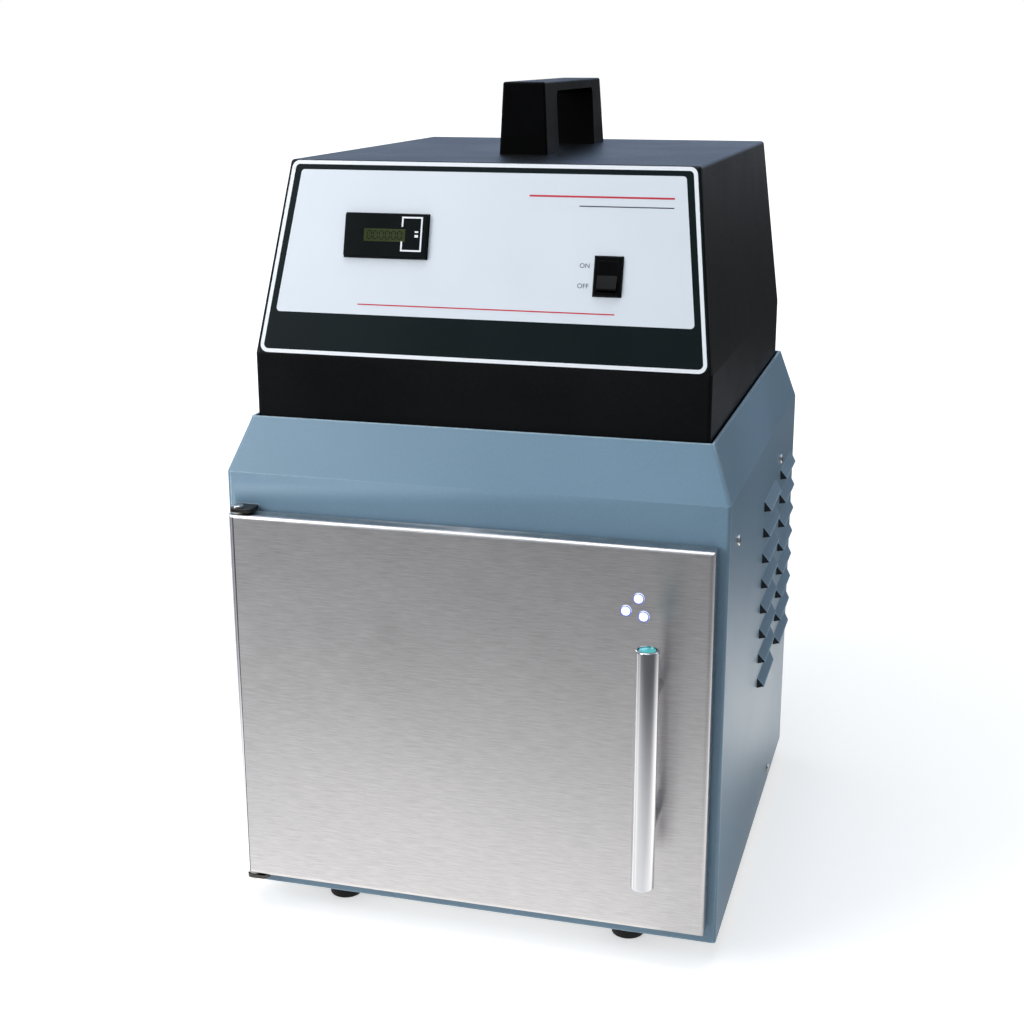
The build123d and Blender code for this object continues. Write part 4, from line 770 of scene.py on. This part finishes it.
def make_guard_tree():
    """The wire guard over the fan: round rings and two crossed wires, ending in four eyes."""
    tree, enter, leave = piece_tree("wire_guard", ["Ring Pitch", "Wire Radius", "Wire Reach", "Eye Radius"])
    section = circle(tree, 12, enter["Wire Radius"])
    rows = add(tree, "GeometryNodeMeshLine", None, Count=4)
    rows.inputs["Offset"].default_value = (0.0, 0.0, 0.0)
    order = tree.nodes.new("GeometryNodeInputIndex").outputs[0]
    grow = maths(tree, "ADD", order, 1.0)
    unit = circle(tree, 64, enter["Ring Pitch"])
    circles = add(
        tree, "GeometryNodeInstanceOnPoints", None, Points=rows.outputs[0], Instance=unit, Scale=grow
    ).outputs[0]
    eye = circle(tree, 24, enter["Eye Radius"])
    reach = enter["Wire Reach"]
    back = times(tree, reach, -1.0)
    ends = []
    for first, second in ((reach, reach), (reach, back), (back, back), (back, reach)):
        ends.append(add(tree, "ShaderNodeCombineXYZ", None, X=first, Y=second).outputs[0])
    paths = tree.nodes.new("GeometryNodeJoinGeometry").inputs[0]
    tree.links.new(add(tree, "GeometryNodeRealizeInstances", None, Geometry=circles).outputs[0], paths)
    to_eye = times(tree, reach, 1.414)
    inner = maths(tree, "SUBTRACT", 1.0, maths(tree, "DIVIDE", enter["Eye Radius"], to_eye))
    scale = {"operation": "SCALE"}
    for end in ends:
        placed = add(tree, "GeometryNodeTransform", None, Geometry=eye, Translation=end).outputs[0]
        tree.links.new(placed, paths)
    for index in range(2):
        points = [
            add(tree, "ShaderNodeVectorMath", scale, i0=ends[index + step], Scale=inner).outputs[0]
            for step in (0, 2)
        ]
        wire = add(tree, "GeometryNodeCurvePrimitiveLine", None, Start=points[0], End=points[1]).outputs[0]
        tree.links.new(wire, paths)
    wires = add(tree, "GeometryNodeCurveToMesh", None, Curve=paths.node.outputs[0], Profile_Curve=section)
    wires.inputs["Fill Caps"].default_value = True
    stamp(tree, enter, leave, wires.outputs[0])
    return tree


low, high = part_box("fan_guard")
guard_mid = (low + high) / 2 / mm
guard = run_tree(
    make_guard_tree(), point_mesh("fan_guard_wires", [tuple(guard_mid)], [(90.0, 0.0, 0.0)]), screw_steel,
    {"Ring Pitch": 9.2, "Wire Radius": 1.1, "Wire Reach": 35.75, "Eye Radius": 3.1},
)
keep("fan_guard_wires", guard, screw_steel, "lamp_head", ["fan_guard"])

# Grip ribs round the fuse holder's cap.
fuse_mid = Vector((-8.0, 167.0, 364.0))
cap_radius, rib_start = 7.85, -2.4
rib_places = []
for step_deg in range(0, 360, 15):
    angle = math.radians(step_deg)
    from_mid = Vector((cap_radius * math.cos(angle), rib_start, cap_radius * math.sin(angle)))
    rib_places.append(tuple(fuse_mid + from_mid))
facing_back = [(-90.0, 0.0, 0.0)] * len(rib_places)
ribs = run_tree(
    button_tree, point_mesh("fuse_cap_ribs", rib_places, facing_back), black_plastic,
    {"Radius": 0.5, "Side Height": 3.6, "Crown Height": 0.4},
)
keep("fuse_cap_ribs", ribs, black_plastic, "lamp_head")


# ---- bent sheets with their real edge and fold radii ----


def weighted(mesh):
    """The same mesh with its corner normals weighted by face size, so that wide faces look flat."""
    maker = bpy.data.objects.new(mesh.name + "_maker", mesh)
    bpy.context.scene.collection.objects.link(maker)
    modifier = maker.modifiers.new("weighted", "WEIGHTED_NORMAL")
    modifier.weight = 100
    modifier.keep_sharp = True
    bpy.context.view_layer.update()
    plain = bpy.data.meshes.new_from_object(maker.evaluated_get(bpy.context.evaluated_depsgraph_get()))
    maker.modifiers.remove(modifier)
    bpy.data.objects.remove(maker)
    return plain


def bent_sheet(name, node, surface, body, fold=1.1, nose=None):
    """A merged copy of a CAD sheet with rounded folds and cut edges; nose is a dark finish put on the
    louvres' closed front and back faces as painted shade, so that they look like open mouths.

    Long edges that turn by 16 to 50 degrees get the fold's radius, and all that turn more the cut edge's.
    """
    form = bmesh.new()
    form.from_mesh(nodes[node].data)
    bmesh.ops.remove_doubles(form, verts=form.verts[:], dist=0.001 * mm)
    bmesh.ops.dissolve_limit(form, angle_limit=math.radians(0.5), verts=form.verts[:], edges=form.edges[:])
    for lowest, highest, shortest, radius in ((16.0, 50.0, 20.0, fold), (50.0, 175.0, 0.0, cut_edge)):
        turned = []
        for edge in form.edges:
            if edge.is_manifold and edge.calc_length() > shortest * mm:
                angle = abs(math.degrees(edge.calc_face_angle_signed()))
                if lowest < angle < highest:
                    turned.append(edge)
        bmesh.ops.bevel(
            form, geom=turned, offset=radius * mm, segments=3, profile=0.5, affect="EDGES",
            clamp_overlap=True,
        )
    mesh = bpy.data.meshes.new(name)
    form.to_mesh(mesh)
    form.free()
    mesh.shade_smooth()
    mesh.set_sharp_from_angle(angle=math.radians(32.0))
    piece = keep(name, weighted(mesh), surface, body, [node])
    # The louvres' end faces get the dark finish: painted shade.
    if nose:
        piece.data.materials.append(nose)
        for face in piece.data.polygons:
            if abs(face.normal.y) > 0.35 and abs(face.center.x) > louvre_root:
                face.material_index = 1
    return piece


cut_edge = 0.3
louvre_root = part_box("front_fascia")[1].x + 0.15 * mm

bent_sheet("fascia_sheet", "front_fascia", blue_paint, "cabinet")
bent_sheet("right_side_sheet", "side_panel_right", blue_paint, "cabinet", nose=louvre_painted_shade)
bent_sheet("left_side_sheet", "side_panel_left", blue_paint, "cabinet", nose=louvre_painted_shade)
bent_sheet("rear_sheet", "rear_panel", blue_paint, "cabinet")
bent_sheet("head_shell", "head_cover", black_paint, "lamp_head", 0.9)
bent_sheet("head_rear_sheet", "head_rear_panel", black_paint, "lamp_head")


# ---- the hour meter's printed marks ----

meter_top = label_face + 2.6


def meter_mark(name, outline):
    """A thin white print on the hour meter's face."""
    print_mesh = plate(name, [outline], meter_top - 0.01, meter_top + 0.06, slope)
    keep(name, print_mesh, label_white, "lamp_head")


meter_mark("meter_bracket_line", [
    (-46.4, 59.2), (-34.4, 59.2), (-34.4, 78.2), (-46.4, 78.2), (-46.4, 72.6), (-45.5, 72.6), (-45.5, 77.3),
    (-35.3, 77.3), (-35.3, 60.1), (-45.5, 60.1), (-45.5, 64.6), (-46.4, 64.6),
])
meter_mark("meter_tick_upper", box_outline(-38.6, 69.6, -36.6, 70.4))
meter_mark("meter_tick_lower", box_outline(-38.6, 67.0, -36.6, 68.4))


# ---- the bright strip down the door's hinge edge, and a thin dark line beside it as painted shadow ----


def upright(name, profile, low, high):
    """A closed outline of (x, y) points in mm stretched from one height to another."""
    return plate(name, [profile], low, high, Matrix.Identity(4))


low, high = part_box("door_skin")
edge_x, edge_y = low.x / mm, low.y / mm
fold_radius, end_gap = 2.8, 1.6
strip_low, strip_high = low.z / mm + end_gap, high.z / mm - end_gap
proud, sunk, strip_depth = 0.14, 0.1, 9.0
fold_mid = (edge_x + fold_radius, edge_y + fold_radius)
line_x = fold_mid[0] + 0.3
strip_profile = []
for radius, turns in (
    (fold_radius + proud, range(180, 271, 9)), (fold_radius - sunk, range(270, 179, -9))
):
    for turn in turns:
        angle = math.radians(turn)
        across, inwards = radius * math.cos(angle), radius * math.sin(angle)
        strip_profile.append((fold_mid[0] + across, fold_mid[1] + inwards))
    if radius > fold_radius:
        strip_profile += [(line_x, edge_y - proud), (line_x, edge_y + sunk)]
    else:
        strip_profile += [(edge_x + sunk, edge_y + strip_depth), (edge_x - proud, edge_y + strip_depth)]
strip = upright("door_edge_strip", strip_profile, strip_low, strip_high)
strip.shade_smooth()
strip.set_sharp_from_angle(angle=math.radians(50.0))
keep("door_edge_strip", strip, bright_fold, "door")
# A thin strip in the black foam finish between the edge strip and the skin: painted shadow of the gap there.
shadow_line_profile = [
    (line_x, edge_y + sunk), (line_x, edge_y - 0.12), (line_x + 0.3, edge_y - 0.1),
    (line_x + 0.36, edge_y + sunk),
]
shadow_line = upright("door_edge_painted_shadow", shadow_line_profile, strip_low, strip_high)
keep("door_edge_painted_shadow", shadow_line, foam, "door")


# ---- camera and lamps ----


def lamp(name, place, target, size, power, colour):
    """A flat rectangular lamp at a place, facing its target; sizes in metres and power in watts."""
    data = bpy.data.lights.new(name, "AREA")
    data.shape = "RECTANGLE"
    data.size, data.size_y = size
    data.energy = power
    data.color = colour
    thing = bpy.data.objects.new(name, data)
    bpy.context.scene.collection.objects.link(thing)
    turn = (Vector(target) - Vector(place)).to_track_quat("-Z", "Y")
    thing.matrix_world = Matrix.Translation(Vector(place)) @ turn.to_matrix().to_4x4()


# The camera stands a little to the right and looks down on the box, as the fit to its straight edges says.
camera_place = Vector((0.25835, -0.94545, 0.5002))
yaw, pitch, roll = (math.radians(a) for a in (15.904, 15.855, -0.0997))
forward = Vector((-math.sin(yaw) * math.cos(pitch), math.cos(yaw) * math.cos(pitch), -math.sin(pitch)))
right = Vector((math.cos(yaw), math.sin(yaw), 0.0))
up = right.cross(forward)
right, up = math.cos(roll) * right + math.sin(roll) * up, math.cos(roll) * up - math.sin(roll) * right
camera_data = bpy.data.cameras.new("photo_camera")
camera_data.lens = 57.42
camera_data.sensor_width = 36.0
camera_data.clip_start = 0.01
camera = bpy.data.objects.new("photo_camera", camera_data)
camera.matrix_world = Matrix((right, up, -forward)).transposed().to_4x4()
camera.matrix_world.translation = camera_place
bpy.context.scene.collection.objects.link(camera)
bpy.context.scene.camera = camera

lamp("key_lamp", (-1.2, -1.2, 1.05), (0.0, 0.0, 0.25), (0.9, 1.1), 18.5, (0.97, 0.98, 1.0))
lamp("top_lamp", (-0.2, -0.3, 1.9), (0.0, 0.0, 0.3), (1.3, 1.3), 17.0, (0.93, 0.96, 1.0))
lamp("side_lamp", (1.6, 0.5, 0.9), (0.0, 0.0, 0.2), (0.7, 1.0), 2.6, (0.95, 0.98, 1.0))


# ---- the room and the floor ----

# The world is plain white for the camera and a soft even light for the rest. In reflections it is cool and
# bright behind the box, and dim in front of it.
world = bpy.data.worlds.new("plain_world")
bpy.context.scene.world = world
world.use_nodes = True
sky = world.node_tree
sky.nodes.clear()
ray = sky.nodes.new("ShaderNodeLightPath").outputs
gloss = ray["Is Glossy Ray"]
seen = maths(sky, "MAXIMUM", ray["Is Camera Ray"], ray["Is Transmission Ray"])
towards = sky.nodes.new("ShaderNodeTexCoord").outputs["Generated"]
aspect = add(sky, "ShaderNodeSeparateXYZ", None, Vector=towards).outputs
behind = times(sky, remap(sky, aspect["Y"], -0.3, 0.85), remap(sky, aspect["Z"], 0.08, 0.32))
room = times(sky, gloss, remap(sky, behind, 0.0, 1.0, 0.25, 1.5))
cool = blend_colour(sky, times(sky, behind, gloss), (0.88, 0.94, 1.0, 1.0), (0.47, 0.65, 1.0, 1.0))
plain = add(sky, "ShaderNodeBackground", None, Color=(1.0, 1.0, 1.0, 1.0), Strength=1.0)
soft = add(sky, "ShaderNodeBackground", None, Color=cool, Strength=maths(sky, "MAXIMUM", room, 0.3))
mixed = sky.nodes.new("ShaderNodeMixShader")
sky.links.new(seen, mixed.inputs[0])
sky.links.new(soft.outputs[0], mixed.inputs[1])
sky.links.new(plain.outputs[0], mixed.inputs[2])
sky.links.new(mixed.outputs[0], sky.nodes.new("ShaderNodeOutputWorld").inputs["Surface"])

# The floor is a pale sheet: for the camera it gets white with distance, and in reflections it fades.
floor_mesh = bpy.data.meshes.new("floor")
reach = 12.0
floor_mesh.from_pydata(
    [(-reach, -reach, 0), (reach, -reach, 0), (reach, reach, 0), (-reach, reach, 0)], [], [(0, 1, 2, 3)]
)
floor = bpy.data.objects.new("floor", floor_mesh)
bpy.context.scene.collection.objects.link(floor)
floor_paint = bpy.data.materials.new("pale_floor")
floor_paint.use_nodes = True
ground = floor_paint.node_tree
ground.nodes.clear()
ray = ground.nodes.new("ShaderNodeLightPath").outputs
gloss = ray["Is Glossy Ray"]
spot = object_place(ground)
axes = add(ground, "ShaderNodeSeparateXYZ", None, Vector=spot).outputs
away = add(ground, "ShaderNodeVectorMath", {"operation": "LENGTH"}, i0=spot).outputs["Value"]
seen = maths(ground, "MAXIMUM", ray["Is Camera Ray"], ray["Is Transmission Ray"])

# How much of the floor's own paleness is left in reflections: it fades far off, more so on the box's right
# side, and close to the box's right side it is darkened as a painted shadow of the box.
beside = times(ground, remap(ground, axes["X"], 0.12, 0.2), remap(ground, axes["Y"], -0.35, 0.0))
beside = times(ground, beside, gloss)
faded = times(ground, gloss, remap(ground, away, 0.24, 0.7, 0.0, 0.86))
kept = maths(ground, "SUBTRACT", 1.0, faded)
clear_of_box = remap(ground, away, 0.2, 0.3)
# Painted shadow of the box on the reflected floor beside its right side.
shaded = times(ground, beside, maths(ground, "SUBTRACT", 1.0, clear_of_box))
kept = times(ground, kept, remap(ground, shaded, 0.0, 1.0, 1.0, 0.3))
kept = times(ground, kept, remap(ground, times(ground, beside, away), 0.6, 1.0, 1.0, 0.5))

# What only reflections see: the floor's own glow, a light patch on the right, a narrow strip of light and
# a pale left side, both by their bearing from the bar pull, and a faint band far off on the right.
bar_foot = (0.109, -0.167, 0.0)
strip_bearing = 1.06
from_bar = add(ground, "ShaderNodeVectorMath", {"operation": "SUBTRACT"}, i0=spot, i1=bar_foot).outputs[0]
from_bar = add(ground, "ShaderNodeSeparateXYZ", None, Vector=from_bar).outputs
bearing = maths(
    ground, "ARCTAN2", times(ground, from_bar["X"], -1.0), times(ground, from_bar["Y"], -1.0)
)
off_strip = maths(ground, "ABSOLUTE", maths(ground, "SUBTRACT", bearing, strip_bearing))
patch = times(ground, clear_of_box, remap(ground, away, 0.33, 0.85, 1.0, 0.0))
band = times(ground, remap(ground, away, 1.1, 1.3, 0.0, 0.2), remap(ground, away, 1.45, 1.9, 1.0, 0.0))
glows = (
    times(ground, kept, 0.5),
    times(ground, times(ground, beside, patch), 0.85),
    remap(ground, off_strip, 0.08, 0.16, 0.3, 0.0),
    remap(ground, bearing, 1.4, 1.7, 0.0, 0.5),
    times(ground, beside, band),
)
glow_strength = times(ground, seen, remap(ground, away, 0.4, 1.6, 0.52, 1.0))
for glow_part in glows:
    glow_strength = maths(ground, "ADD", glow_strength, times(ground, gloss, glow_part))
warm_near, cool_far = (1.0, 0.965, 0.915, 1.0), (0.91, 0.92, 1.0, 1.0)
tinted = blend_colour(ground, remap(ground, away, 0.3, 0.9), warm_near, cool_far)
glow_colour = blend_colour(ground, gloss, (1.0, 1.0, 1.0, 1.0), tinted)
matt = add(ground, "ShaderNodeBsdfDiffuse", None, Color=times(ground, kept, 0.8))
glow = add(ground, "ShaderNodeEmission", None, Color=glow_colour, Strength=glow_strength)
both = ground.nodes.new("ShaderNodeAddShader")
ground.links.new(matt.outputs[0], both.inputs[0])
ground.links.new(glow.outputs[0], both.inputs[1])
ground.links.new(both.outputs[0], ground.nodes.new("ShaderNodeOutputMaterial").inputs["Surface"])
floor_mesh.materials.append(floor_paint)

bpy.context.scene.view_settings.view_transform = "Standard"
